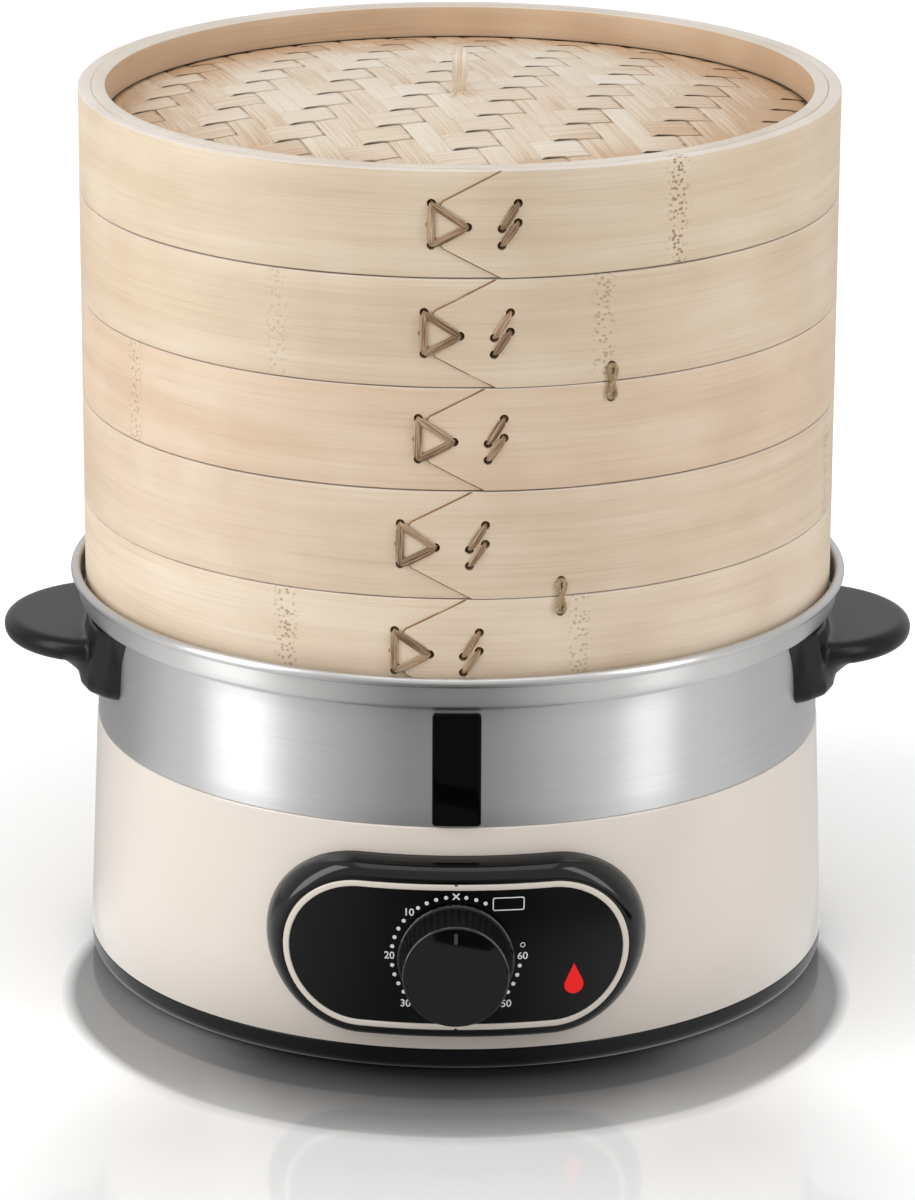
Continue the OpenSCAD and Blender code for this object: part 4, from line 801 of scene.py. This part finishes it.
def dive_shade_of(kind, index, x, y):
    """How much painted shade a strip gets at the edges that face the front or the left of a float.
    """
    other = across(OTHER[kind], x, y)
    line = round(other)
    off = (other - line) * WEAVE[OTHER[kind]][1]
    before, after = is_over(kind, index, line - 1), is_over(kind, index, line)
    if after:
        return 0.0 if before else 0.15 * max(1 - abs(off) / 0.8, 0)
    if kind == "A":
        core, fade, deep = (0.25, 0.8, 0.95) if before else (0.1, 0.5, 0.3)
    else:
        core, fade, deep = (0.5, 1.0, 0.95) if before else (1.5, 1.3, 1.0)
    near = min(max(1 - (abs(off) - core) / fade, 0), 1)
    return near * deep * (0.4 if before and off < 0 else 1.0)


def slit_of(index, x, y):
    """How far a strip A gapes from the next one behind it, where both go over the same strip B."""
    other = across("B", x, y)
    cell = floor(other)
    if not (a_is_over(index, cell) and a_is_over(index + 1, cell)):
        return 0.0
    part = other - cell
    return min((part + 0.1) / 0.25, 1) * (1 - part) ** 0.5


def weave_strip(kind, index, rng):
    """One strip of the woven top, laid over the dome."""
    turn, pitch, start, _ = WEAVE[kind]
    direction = Vector((cos(turn), sin(turn)))
    side = Vector((-sin(turn), cos(turn)))
    centre = start + (index + 0.5) * pitch
    half = pitch / 2 - (0.35 if kind == "A" else 0.06)
    skew = rng.uniform(-0.002, 0.002)
    if abs(centre) - half > WEAVE_R - 1:
        return None
    longest = sqrt(max(WEAVE_R ** 2 - max(abs(centre) - half, 0) ** 2, 1.0))
    level = rng.uniform(0.46, 0.66)
    dives, tones = [], []

    def place(u, v):
        edge = copysign(1 - (1 - abs(2 * v - 1)) ** 1.8, v - 0.5)
        q = min(max(centre + half * edge, 0.5 - WEAVE_R), WEAVE_R - 0.5)
        reach = sqrt(WEAVE_R ** 2 - q * q)
        t = (2 * u - 1) * reach
        x, y = direction * t + side * (q + skew * t * (1 - (t / reach) ** 2))
        gape = slit_of(index, x, y) if kind == "A" and edge > 0.99 else 0.0
        lip = slit_of(index - 1, x, y) if kind == "A" and edge < -0.99 else 0.0
        x, y = Vector((x, y)) - side * SLIT_W * gape
        radius = min(hypot(x, y), WEAVE_R)
        top = MAT_TOP_Z + MAT_RISE - DOME_R + sqrt(DOME_R ** 2 - radius ** 2)
        wave = WAVE_H * height_of(kind, index, x, y)
        crown = -CROWN_FALL * edge ** 6 + CROWN_RISE * (1 - edge ** 2)
        z = top - MAT_SINK + wave + crown - SLIT_DEPTH * gape + SLIT_LIP * lip
        if radius > HOOP_RI - 2.2:
            z = min(z, MAT_TOP_Z - 0.25)
        # Painted shade under the rim hoop, at the dives, in the slits and on their lips
        rim_shade = 0.75 * smoothstep((radius - SHADE_R) / SHADE_OVER)
        dives.append(max(dive_shade_of(kind, index, x, y), rim_shade, gape, 0.95 * lip))
        patch = noise.noise(Vector((x / 45, y / 45, index)))
        tones.append(level + 0.16 * patch - 0.36 * smoothstep((radius - BROWN_R) / BROWN_OVER)
                     - 0.14 * smoothstep((x - BROWN_X) / BROWN_X_OVER))
        return (x, y, z)

    columns = max(int(2 * longest / 1.75), 6)
    piece = sheet("strip", columns, 6, place, mm(2 * longest, pitch),
                  (rng.random() * 3, rng.random()))
    mark(piece, "tone", tones)
    mark(piece, "dive_shade", dives)
    return piece


rng = random.Random(11)
strips = [weave_strip(kind, index, rng)
          for kind, count in (("A", 9), ("B", 16)) for index in range(-count, count + 3)]
mat = join("mat_woven", [strip for strip in strips if strip])
modify(mat, "SOLIDIFY", thickness=0.75 * MM, offset=0)
settle(mat, "lid", woven_bamboo, "bamboo_weave", "lid_mat", angle=50)


def lifting_loop():
    """A closed loop of peeled bamboo through the woven top, with frayed ends on it."""
    low, high, span, half, thick = 351.9, 372.5, 15.0, 3.1, 0.9
    bend = (span - thick) / 2
    foot, head = low + bend + thick / 2, high - bend - thick / 2
    line = ([(-bend, foot)] + arc(0, head, bend, 180, 0, 20)
            + [(bend, foot)] + arc(0, foot, bend, 0, -180, 20)[1:])
    lengths = [0.0]
    for (y0, z0), (y1, z1) in zip(line, line[1:]):
        lengths.append(lengths[-1] + hypot(y1 - y0, z1 - z0))

    def place(u, v):
        at = u * lengths[-1]
        k = next((i for i in range(1, len(lengths)) if lengths[i] >= at - 1e-9), len(lengths) - 1)
        part = (at - lengths[k - 1]) / max(lengths[k] - lengths[k - 1], 1e-9)
        y, z = [a + (b - a) * part for a, b in zip(line[k - 1], line[k])]
        edge = 2 * v - 1
        return ((half - 0.25) * edge + 0.12 * sin(z), y * (1 - 0.02 * edge ** 4), z)

    strip = weld(sheet("loop", 72, 6, place, (0.07, 0.006), (0.3, 0.2)))
    modify(strip, "SOLIDIFY", thickness=0.8 * MM, offset=0)
    parts = [strip]
    for start, end in (((-1.5, -8.6, 356.6), (-3.5, -17.5, 356.2)),
                       ((1.0, -8.4, 356.7), (4.6, -17.0, 356.3)),
                       ((2.2, -8.5, 356.5), (6.4, -12.0, 356.4))):
        def splint(u, v, start=start, end=end):
            edge = (2 * v - 1) * (0.55 - 0.3 * u)
            point = Vector(start).lerp(Vector(end), u)
            lift = 0.9 * sin(pi * u) * (1 - u) + 0.1
            return (point.x + edge, point.y, point.z + lift)
        shaving = sheet("splint", 12, 3, splint, (0.012, 0.001), (0.1, 0.6))
        modify(shaving, "SOLIDIFY", thickness=0.3 * MM, offset=0)
        parts.append(shaving)
    piece = join("loop_lifting", parts)
    mark(piece, "tone", repeat(0.52))
    settle(piece, "lid", peeled_bamboo, "bamboo_strip", "lid_loop", angle=50)


lifting_loop()


# ---------- pot, shell and tray ----------

# A deep-drawn pot with a ledge, a collar and a rolled rim: its wall is one line out and one in.
# The radii of its bends, and the sheet's thickness
FLOOR_BEND, FLARE_BEND, INNER_BEND, SHEET_T = 12, 1.6, 1.1, 0.8
BEAD_AT, BEAD_Z = COLLAR_RI + BEAD_R, RIM_Z - BEAD_R
pot = lathe("pot_drawn", (
    [(0, POT_FLOOR_Z)] + arc(NECK_R - FLOOR_BEND, POT_FLOOR_Z + FLOOR_BEND, FLOOR_BEND, -90, 0, 8)
    + [(NECK_R, SEAT_Z - 0.4), (NECK_R + 0.2, SEAT_Z + 0.05), (STEEL_R - 0.3, SEAT_Z + 0.05)]
    + arc(STEEL_R - 0.3, SEAT_Z + 0.35, 0.3, -90, 0, 3)
    + [(STEEL_R, SEAT_Z + 8), (STEEL_R, FLARE_Z - 8)]
    + arc(STEEL_R + FLARE_BEND, FLARE_Z - 1.2, FLARE_BEND, 180, 112, 5)
    + [(COLLAR_RO - 1.8, LEDGE_Z - 0.35)]
    + arc(COLLAR_RO - FLARE_BEND, LEDGE_Z + 1.3, FLARE_BEND, -70, 0, 5)
    + [(COLLAR_RO, LEDGE_Z + 4), (COLLAR_RO, BEAD_Z - 1.6)]
    + arc(BEAD_AT, BEAD_Z, BEAD_R - 0.06, -125, 180, 22) + [(COLLAR_RI, LEDGE_Z + 1.2)]
    + arc(COLLAR_RI - INNER_BEND, LEDGE_Z + INNER_BEND, INNER_BEND, 0, -90, 4)
    + [(POT_RI + 0.9, LEDGE_Z)] + arc(POT_RI + 0.9, LEDGE_Z - 0.9, 0.9, 90, 180, 4)
    + arc(NECK_R - FLOOR_BEND, POT_FLOOR_Z + FLOOR_BEND, FLOOR_BEND - SHEET_T, 0, -90, 8)
    + [(0, POT_FLOOR_Z + SHEET_T)]), 320)
WINDOW_Z = 124.2
opening(pot, 0, WINDOW_Z, 15.5, 42.2, -160, -130)
settle(pot, "base", [brushed_steel, spun_steel], "brushed_pot", "water_pot", angle=28)
second_finish(pot, lambda face: face.center.z > (FLARE_Z - 0.4) * MM)

shell = lathe("shell_painted", [
    (SHELL_BOTTOM_R - 0.8, TRAY_H + 0.1), (SHELL_BOTTOM_R - 0.2, TRAY_H + 0.05),
    (SHELL_BOTTOM_R, TRAY_H + 0.4), (SHELL_BOTTOM_R - 1.2, 40), (SHELL_BOTTOM_R - 2.4, 70),
    (SHELL_TOP_R + 0.02, SEAT_Z - 1.2)] + arc(SHELL_TOP_R - 0.6, SEAT_Z - 0.65, 0.6, 0, 90, 4)
    + [(SHELL_TOP_R - 0.9, SEAT_Z - 0.05), (SHELL_TOP_R - 0.9, SEAT_Z - 1.5),
       (SHELL_BOTTOM_R - 0.8, TRAY_H + 0.1)], 320)
# The panel's plug and the inlet's body pass through the shell, as do their screws and the lamp
opening(shell, 0, DIAL_Z, PLUG_W, PLUG_H, -160, -130)
opening(shell, 0, INLET_Z, 28, 21, 130, 160)
for x in (-BEZEL_SCREW_X, BEZEL_SCREW_X):
    bore(shell, x, DIAL_Z, 1.7, -160, -130)
for x in (-INLET_SCREW_X, INLET_SCREW_X):
    bore(shell, x, INLET_Z, 1.7, 130, 160)
settle(shell, "base", cream_paint, "cream_paint", "outer_shell", angle=40)

# The tray keeps its solid inside; this skin gives it its smooth outer band
tray = lathe("tray_skirt", arc(TRAY_R - 4.88, 6.2, 5, -90, 0, 8)
             + [(TRAY_R + 0.12, TRAY_H - 0.5), (TRAY_R - 0.3, TRAY_H - 0.05),
                (TRAY_R - 2.6, TRAY_H - 0.05), (TRAY_R - 2.6, 6.4)]
             + arc(TRAY_R - 5, 6.2, 2.6, 0, -90, 4) + [(TRAY_R - 5, 1.2)], 320)
settle(tray, "base", tray_black, "black_moulding", angle=40)


# ---------- control panel ----------

STRAIGHT = PANEL_W - PANEL_H


def outline_turn(u):
    """The angle round the outline's ends, and the place on its straight sides, from -1 to 1."""
    bend = pi * PANEL_H / 2
    at = (u % 1.0) * (2 * STRAIGHT + 2 * bend)
    if at < bend:
        return -pi / 2 + pi * at / bend, 1.0
    at -= bend
    if at < STRAIGHT:
        return pi / 2, 1 - 2 * at / STRAIGHT
    at -= STRAIGHT
    if at < bend:
        return pi / 2 + pi * at / bend, -1.0
    return -pi / 2, -1 + 2 * (at - bend) / STRAIGHT


def panel_point(u, grow, radius, blend=1.0):
    """A point of the outline at u, grown outwards; blend goes from the shell's radius to radius."""
    turn, side = outline_turn(u)
    x = side * STRAIGHT / 2 + (PANEL_H / 2 + grow) * cos(turn)
    z = DIAL_Z + (PANEL_H / 2 + grow) * sin(turn)
    taper = (SHELL_BOTTOM_R - SHELL_TOP_R) / (SEAT_Z - TRAY_H)
    shell_at = SHELL_BOTTOM_R - taper * (z - TRAY_H)
    at = shell_at - 0.2 + (radius - shell_at + 0.2) * blend
    return (x, -sqrt(at * at - x * x), z)


def boss():
    """The raised frame: a convex flank that rises from the shell to a narrow flat edge."""
    # Each step's spread outwards and rise from the shell, and then the lip's offset and rise
    section = [(1.0, 0.0), (0.985, 0.05)]
    section += [(cos(a) ** 1.1, 0.05 + 0.95 * sin(a) ** 0.9)
                for a in (pi / 2 * i / 12 for i in range(1, 13))]
    lip = [(0.5, 1.0), (0.18, 0.99), (0.1, 0.93), (0.1, 0.2)]
    rows = len(section) + len(lip) - 1

    def place(u, v):
        k = int(round(v * rows))
        if k >= len(section):
            grow, rise = lip[k - len(section)]
            return panel_point(u, grow, PANEL_R, rise)
        spread, rise = section[k]
        # The flank is narrower below than above
        below = 0.5 - 0.5 * sin(outline_turn(u)[0])
        flare = BOSS_FLARE - BOSS_EDGE - 3.4 * below ** 1.5
        return panel_point(u, BOSS_EDGE + flare * spread, PANEL_R, rise)

    def backing(u, v):
        # From the outline in to the shaft's hole
        x, y, z = panel_point(u, 0.2, RECESS_R)
        reach = hypot(x, z - DIAL_Z)
        share = (reach + (6.2 - reach) * v) / reach
        return (x * share, -sqrt(RECESS_R ** 2 - (x * share) ** 2),
                DIAL_Z + (z - DIAL_Z) * share)

    flank = sheet("boss", 256, rows, place)
    piece = weld(join("boss_frame", [flank, sheet("floor", 256, 8, backing)]))
    settle(piece, "base", gloss_black, "gloss_boss", "control_bezel", angle=40)


def trim():
    """The bright trim, a rounded bar laid round the plate, with a fine notch above and below."""
    section = ([(0.0, RECESS_R + 0.3)] + arc(-0.5, TRIM_FACE_R - 0.5, 0.5, 0, 90, 4)
               + arc(-TRIM_W + 0.5, TRIM_FACE_R - 0.5, 0.5, 90, 180, 4)
               + [(-TRIM_W, RECESS_R + 0.3), (0.0, RECESS_R + 0.3)])

    def place(u, v):
        grow, radius = section[int(round(v * (len(section) - 1)))]
        return panel_point(u, grow - 0.02, radius)

    piece = weld(sheet("trim_bright", 288, len(section) - 1, place))
    for z in (DIAL_Z + PANEL_H / 2, DIAL_Z - PANEL_H / 2):
        carve(piece, rod("notch", 16, 0.75, 4, (0, -TRIM_FACE_R, z), ALONG_Y))
    settle(piece, "base", champagne, "bright_trim", "panel_trim", angle=40)


def plate():
    """The black plate, bent to the panel's radius, with holes for the shaft and the red lens."""
    gap = TRIM_W + 0.12
    width, height = PANEL_W - 2 * gap, PANEL_H - 2 * gap

    def place(u, v):
        x = -cos(pi * u) * width / 2
        over = max(abs(x) - (width - height) / 2, 0)
        reach = sqrt(max((height / 2) ** 2 - over ** 2, 0))
        return (x, -sqrt(PLATE_FACE_R ** 2 - x * x), DIAL_Z + (2 * v - 1) * reach)

    piece = weld(sheet("plate_black", 128, 16, place))
    modify(piece, "SOLIDIFY", thickness=2.7 * MM, offset=-1)
    bore(piece, 0, DIAL_Z, 5, -165, -145)
    # The lens is a drop: a circle with its tangents drawn to a point
    drop_r, drop_top = 3.8, 8.9
    lean = degrees(acos(drop_r / drop_top))
    drop = [(0, drop_top)] + arc(0, 0, drop_r, 90 - lean, lean - 270, 20)
    carve(piece, prism("drop", [(DROP_X + x, -165, DROP_Z + z) for x, z in drop], (0, 30, 0)))
    settle(piece, "base", plate_black, "panel_plate", "control_panel", angle=40)


def dial_print():
    """The printed scale: dots, plain numbers from 10 to 60, an off mark, a box and a ring."""
    marks = []
    dots_r, numbers_r, outer_r, ink = 24.8, 25.6, 27.4, 0.02

    def on_dial(turn, radius):
        turn = radians(turn)
        return mm(-radius * sin(turn), 0, DIAL_Z + radius * cos(turn))

    def dot(turn, radius=dots_r, size=0.8):
        clear()
        bpy.ops.mesh.primitive_circle_add(vertices=20, radius=size * MM, fill_type="NGON",
                                          location=on_dial(turn, radius), rotation=ALONG_Y)
        marks.append(named("dot"))

    for minutes in range(1, 7):
        turn = 45 * minutes
        # The 30 and the 50 stand further out, clear of the knob
        at = on_dial(turn, outer_r if minutes in (3, 5) else numbers_r)
        clear()
        bpy.ops.object.text_add(location=at, rotation=ALONG_Y)
        label = bpy.context.object.data
        label.body = str(10 * minutes)
        label.size, label.offset = mm(4.1, 0.05)
        label.align_x = label.align_y = "CENTER"
        bpy.ops.object.convert(target="MESH")
        marks.append(named("number"))
        for k in range(1, 5):
            dot(turn - 45 + 9 * k)
    for k in range(1, 4):
        dot(-9 * k)
    for lean in (-1, 1):
        marks.append(block("off", (0, 0, DIAL_Z + 25.0), (3.6, ink, 0.6), (0, lean * pi / 4, 0)))
    # The box of the always-on setting has sides and short slanting corners
    box_x, box_z = 20.1, DIAL_Z + 21.7
    for w, h, x, z in ((11.4, 0.4, 0, 2.5), (11.4, 0.4, 0, -2.5),
                       (0.4, 4.4, 5.9, 0), (0.4, 4.4, -5.9, 0)):
        side = block("box", (box_x + x, 0, box_z + z), (w, ink, h))
        edit(side)
        everything()
        bpy.ops.mesh.subdivide(number_cuts=6)
        leave()
        marks.append(side)
    for x, z, turn in ((5.7, 2.3, 45), (-5.7, 2.3, -45), (5.7, -2.3, -45), (-5.7, -2.3, 45)):
        marks.append(block("corner", (box_x + x, 0, box_z + z), (0.6, ink, 0.4),
                           (0, radians(turn), 0)))
    # The 60 mark has a small dot and a ring
    dot(177, 26.9, 0.4)
    clear()
    bpy.ops.mesh.primitive_torus_add(major_segments=24, minor_segments=6, major_radius=0.85 * MM,
                                     minor_radius=0.16 * MM, rotation=ALONG_Y,
                                     location=mm(numbers_r, 0, DIAL_Z + 4.6))
    bpy.context.object.scale = (1, 1, 0.1)
    marks.append(named("ring"))
    piece = join("dial_print", [freeze(each) for each in marks])
    edit(piece)
    everything()
    bpy.ops.mesh.quads_convert_to_tris()
    leave()
    # The flat work is bent onto the plate's face
    for vertex in piece.data.vertices:
        x = vertex.co.x / MM
        vertex.co.y -= sqrt((PLATE_FACE_R + 0.03) ** 2 - x * x) * MM
    settle(piece, "base", print_white, "pointer_white")


def knob():
    """The knob: a thin skirt, a grip of fine grooves and a faintly dished face."""
    top, grip, grip_h = KNOB_D, FACE_R + 0.7, 2.65
    profile = ([(0, 0), (SKIRT_R - 0.4, 0), (SKIRT_R, 0.4), (SKIRT_R, 1.7)]
               + arc(SKIRT_R - 0.7, 1.7, 0.7, 0, 90, 4) + [(grip + 0.25, 2.4), (grip, grip_h)]
               + [(grip - 0.7 * i / 10, grip_h + (top - 1.6 - grip_h) * i / 10)
                  for i in range(1, 11)]
               + arc(FACE_R - 0.9, top - 0.9, 0.9, 0, 90, 6)
               + [(FACE_R - 1.0, top - 0.002), (FACE_R - 4, top - 0.015),
                  (FACE_R - 10, top - 0.03), (0, top - 0.035)])
    piece = lathe("knob_grooved", profile, KNURLS * 8)
    for vertex in piece.data.vertices:
        radius = hypot(vertex.co.x, vertex.co.y)
        height = vertex.co.z / MM
        if height > 2.5 and radius > (FACE_R - 0.9) * MM:
            turn = atan2(vertex.co.y, vertex.co.x) * KNURLS
            fade = smoothstep((height - 2.5) / 0.3)
            fade *= smoothstep((top - 0.7 - height) / 0.5)
            cut = 0.75 * (0.5 - 0.5 * cos(turn)) ** 1.6 * fade * MM
            vertex.co.x *= (radius - cut) / radius
            vertex.co.y *= (radius - cut) / radius
    piece.rotation_euler = ALONG_Y
    piece.location = mm(0, -KNOB_Y0, DIAL_Z)
    settle(piece, "knob", [knob_black, grip_black], "knob_black", "timer_knob", angle=40)
    second_finish(piece, lambda face: 2.4 < -face.center.y / MM - KNOB_Y0 < top - 0.7)


def window():
    """The smoked window: a rounded plate that follows the wall."""
    thick = 1.4
    piece = block("window_smoked", (0, 0, WINDOW_Z), (18.7, thick, 45.4))
    edit(piece)
    round_edges(piece, 1.4, 5, lambda a, b: abs(a.y - b.y) > thick / 2 * MM)
    round_edges(piece, 0.5, 3, lambda a, b: max(a.y, b.y) < -0.6 * MM)
    for i in range(-7, 8):
        everything()
        bpy.ops.mesh.bisect(plane_co=mm(i * 1.1, 0, 0), plane_no=(1, 0, 0))
    leave()
    inner = STEEL_R + 0.64
    for vertex in piece.data.vertices:
        radius = inner + thick / 2 - vertex.co.y / MM
        vertex.co = Vector(on_ring(vertex.co.x / MM / inner, radius, vertex.co.z / MM)) * MM
    settle(piece, "base", smoked, "smoked_window", "window_lens", angle=40)


boss()
trim()
plate()
dial_print()
knob()
window()


# ---------- handles ----------

def handle(name, node, side):
    """A moulded handle: an oval wing that runs by a soft hollow into a block round the pot."""
    wing_x, wing_top, wing_t = 140.0, 140.2, 9.5
    wing = rod("wing", 128, 43.3, wing_t, (wing_x, 0, wing_top - wing_t / 2), other=44.0)
    edit(wing)
    round_edges(wing, 4.4, 8, lambda a, b: abs(a.z - b.z) < 1e-6)
    leave()
    # The wing thickens below towards the block
    root = rod("root", 96, 30, 9.8, (wing_x, 0, 127.3), other=43)
    for vertex in root.data.vertices:
        if vertex.co.z < 126 * MM:
            vertex.co.x = wing_x * MM + (vertex.co.x - wing_x * MM) * 0.45
            vertex.co.y *= 0.93
    carve(wing, root, "UNION")
    # The block's plan, from the pot's wall round its outer face
    half = [(129.6, 66.0), (140.4, 59.0), (147.2, 50.5), (150.6, 40.0), (152.3, 26.0)]
    plan = [(x, -y) for x, y in half] + half[::-1] + [(120.0, 66.0), (120.0, -66.0)]
    foot, tall = 119.6, 28.7
    body = prism("block", [(x, y, foot) for x, y in plan], (0, 0, tall))
    # Its foot is rounded, it narrows downwards, and its top slopes to the pot
    edit(body)
    round_edges(body, 3.2, 4, lambda a, b: max(a.z, b.z) < (foot + 0.6) * MM
                and min(a.x, b.x) > 125 * MM)
    leave()
    for vertex in body.data.vertices:
        vertex.co.y *= 1 - 0.1 * (foot + tall - vertex.co.z / MM) / tall
        if vertex.co.z > 140 * MM and vertex.co.x > 132 * MM:
            vertex.co.x -= 4.5 * MM
    carve(wing, body, "UNION")
    modify(wing, "REMESH", mode="VOXEL", voxel_size=0.8 * MM)
    edit(wing)
    everything()
    bpy.ops.mesh.vertices_smooth(factor=0.5, repeat=6)
    # The hollow between wing and block is smoothed much more
    low, high, near, far, wide = mm(124.7, 134.7, 136, 158, 58)
    pick(wing, "VERT", lambda v: low < v.z < high and near < v.x < far and abs(v.y) < wide)
    bpy.ops.mesh.vertices_smooth(factor=0.5, repeat=60)
    leave()
    carve(wing, rod("pot_side", 360, STEEL_R + 0.1, 200, (0, 0, 130)))
    wing.name = name
    if side < 0:
        for vertex in wing.data.vertices:
            vertex.co.x *= -1
        edit(wing, "FACE")
        everything()
        bpy.ops.mesh.flip_normals()
        leave()
    settle(wing, "base", phenolic, "bakelite", node, angle=60)


handle("handle_moulded_right", "right_handle", 1)
handle("handle_moulded_left", "left_handle", -1)


# ---------- pieces that keep their solid ----------

for material, nodes in (
        (tray_black, "base_tray inlet_socket"), (rubber, "foot_ring window_gasket"),
        (screw_steel, "tray_screws bezel_screws timer_screws plate_stud plate_nuts tie_rods "
                      "inlet_screws handle_screws timer_shaft"),
        (red_lens, "indicator_lens"), (lamp_glass, "indicator_lamp"),
        (nylon, "timer_case timer_cam"), (nickel, "timer_bell thermal_fuse inlet_pins"),
        (brass, "switch_contacts"), (cast_alloy, "heating_plate"),
        (element_sheath, "heating_element"), (phenolic_brown, "thermostat"),
        (sheet_alloy, "heat_shield"), (brown_wire, "live_wire"), (black_wire, "load_wire"),
        (blue_wire, "neutral_wire"), (earth_wire, "earth_wire"), (mark_grey, "knob_pointer")):
    for node in nodes.split():
        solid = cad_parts[node]
        solid.data.materials.clear()
        solid.data.materials.append(material)


# ---------- studio; sizes in metres ----------

def softbox(name, azimuth, elevation, distance, width, height, watts):
    """A soft light that faces the middle of the object."""
    a, e = radians(azimuth), radians(elevation)
    centre = Vector((0, 0, 0.19))
    spot = centre + distance * Vector((sin(a) * cos(e), -cos(a) * cos(e),
                                       sin(e)))
    clear()
    bpy.ops.object.light_add(type="AREA", location=spot)
    lamp = bpy.context.object
    lamp.name = name
    lamp.data.shape = "RECTANGLE"
    lamp.data.size, lamp.data.size_y, lamp.data.energy = width, height, watts
    lamp.rotation_euler = (centre - spot).to_track_quat("-Z", "Y").to_euler()


softbox("light_left", -68, 22, 1.7, 0.7, 1.8, 17.3)
softbox("light_right", 60, 22, 1.7, 0.5, 1.8, 9.8)
softbox("light_top", 0, 82, 1.6, 1.3, 1.3, 6)

# Smooth white paper that shows a faint likeness of what stands on it
clear()
bpy.ops.mesh.primitive_plane_add(size=16)
ground = named("floor")
paper = finish("paper_white", Roughness=0.07, IOR=1.4)
spot = add(paper, "TexCoord", out="Object")
away = add(paper, "VectorMath", [spot], "Value", operation="LENGTH")
sides = add(paper, "SeparateXYZ", [spot]).node.outputs
back = add(paper, "Math", [sides["Y"], -1.0], operation="MULTIPLY")
bearing = add(paper, "Math", [sides["X"], back], operation="ARCTAN2")
swing = add(paper, "Math", [bearing], operation="ABSOLUTE")
# A painted shadow and dark reflection of the foot in front, inside a circle that is set a little
# forward, and a grey painted shadow inside that circle at the sides and back
ahead = add(paper, "MapRange", [swing, 0.45, 0.85, 1.0, 0.0], interpolation_type="SMOOTHSTEP")
forward = add(paper, "VectorMath", [spot, (0.0, 0.055, 0.0)], operation="ADD")
reach = add(paper, "VectorMath", [forward], "Value", operation="LENGTH")
near = add(paper, "MapRange", [reach, 0.095, 0.175])
shade = add(paper, "ValToRGB", {"Fac": near}, stops=[
    (0.0, "#303030"), (0.36, "#6e6e6e"), (0.745, "#b2b2b2"), (0.775, "#dcdcdc"), (0.86, "#f6f6f6")])
inside = add(paper, "MapRange", [reach, 0.1525, 0.159, 1.0, 0.0])
outside = add(paper, "Math", [1.0, inside], operation="SUBTRACT")
# Grey painted shadow inside the circle beside the foot
painted_shadow_beside_foot = add(paper, "Mix", {0: inside, 6: "#f6f6f6", 7: "#9a9a9a"}, **RGBA)
tone = add(paper, "Mix", {0: ahead, 6: painted_shadow_beside_foot, 7: shade}, **RGBA)
# The paper runs up to full white away from the object, where the lamps reach it less
front = add(paper, "MapRange", [away, 0.24, 0.7, 0.0, 0.6])
beside = add(paper, "MapRange", [away, 0.15, 0.6, 0.17, 0.62])
far = add(paper, "Mix", {0: ahead, 2: beside, 3: front})
white = add(paper, "Math", [far, outside], operation="MULTIPLY")
rays = add(paper, "LightPath").node.outputs
seen = add(paper, "Math", [rays["Is Camera Ray"], rays["Is Transmission Ray"]],
           operation="MAXIMUM")
lift = add(paper, "Math", [seen, white], operation="MULTIPLY")
feed(paper, Base_Color=tone, Emission_Color="#ffffff", Emission_Strength=lift)
# Painted reflections: to the steel and the gloss the paper shows painted white cards low at each
# side and a dark room in front
turn = add(paper, "MapRange", [bearing, -pi, pi])
painted_cards = add(paper, "ValToRGB", {"Fac": turn}, stops=[
    (0.0, "#c4c4c4"), (0.14, "#b0b0b0"), (0.20, "#bcbcbc"), (0.255, "#ffffff"), (0.355, "#ffffff"),
    (0.41, "#d2d2d2"), (0.462, "#8b8b8b"), (0.525, "#909090"), (0.57, "#e2e2e2"), (0.60, "#ffffff"),
    (0.715, "#ffffff"), (0.765, "#e2e2e2"), (0.85, "#d4d4d4"), (1.0, "#c4c4c4")])
# A black bar is painted across the front for reflections alone, and its edge shows in the knob's
# face
slant = add(paper, "Math", [sides["X"], -0.45, sides["Y"]], operation="MULTIPLY_ADD")
bar = add(paper, "Math", [slant, -0.375, 0.0355], operation="COMPARE")
close = add(paper, "Math", [away, 0.46], operation="LESS_THAN")
barred = add(paper, "Math", [bar, close], operation="MULTIPLY")
set_seen = add(paper, "Mix", {0: barred, 6: painted_cards, 7: "#0a0a0a"}, **RGBA)
reflected = add(paper, "Emission", {"Color": set_seen, "Strength": 1.0})
plain = paper.node_tree.nodes["Principled BSDF"].outputs[0]
mirror = add(paper, "MixShader", [rays["Is Glossy Ray"], plain, reflected])
fill(paper, paper.node_tree.nodes["Material Output"], {"Surface": mirror})
ground.data.materials.append(paper)

# The room is white to the camera, the gloss and the glass, and dimmer as a light
world = bpy.context.scene.world or bpy.data.worlds.new("world")
bpy.context.scene.world = world
world.use_nodes = True
world.node_tree.nodes.clear()
rays = add(world, "LightPath").node.outputs
seen = add(world, "Math", [rays["Is Camera Ray"], rays["Is Glossy Ray"]], operation="MAXIMUM")
seen = add(world, "Math", [seen, rays["Is Transmission Ray"]], operation="MAXIMUM")
level = add(world, "MapRange", [seen, 0.0, 1.0, 0.48, 1.0])
add(world, "OutputWorld", {"Surface": add(world, "Background", {"Strength": level})})

bpy.context.scene.view_settings.view_transform = "Standard"

# The camera looks 17.95 degrees down on the front from 2.2 m, with a long lens and a slight roll
clear()
bpy.ops.object.camera_add(location=(0, -2.2086, 0.8604))
camera = bpy.context.object
down, roll = radians(90 - 17.95), radians(0.25)
camera.rotation_euler = (Matrix.Rotation(down, 3, "X") @ Matrix.Rotation(roll, 3, "Z")).to_euler()
camera.data.lens = 172.2
camera.data.sensor_width = 36
camera.data.clip_end = 50
bpy.context.scene.camera = camera
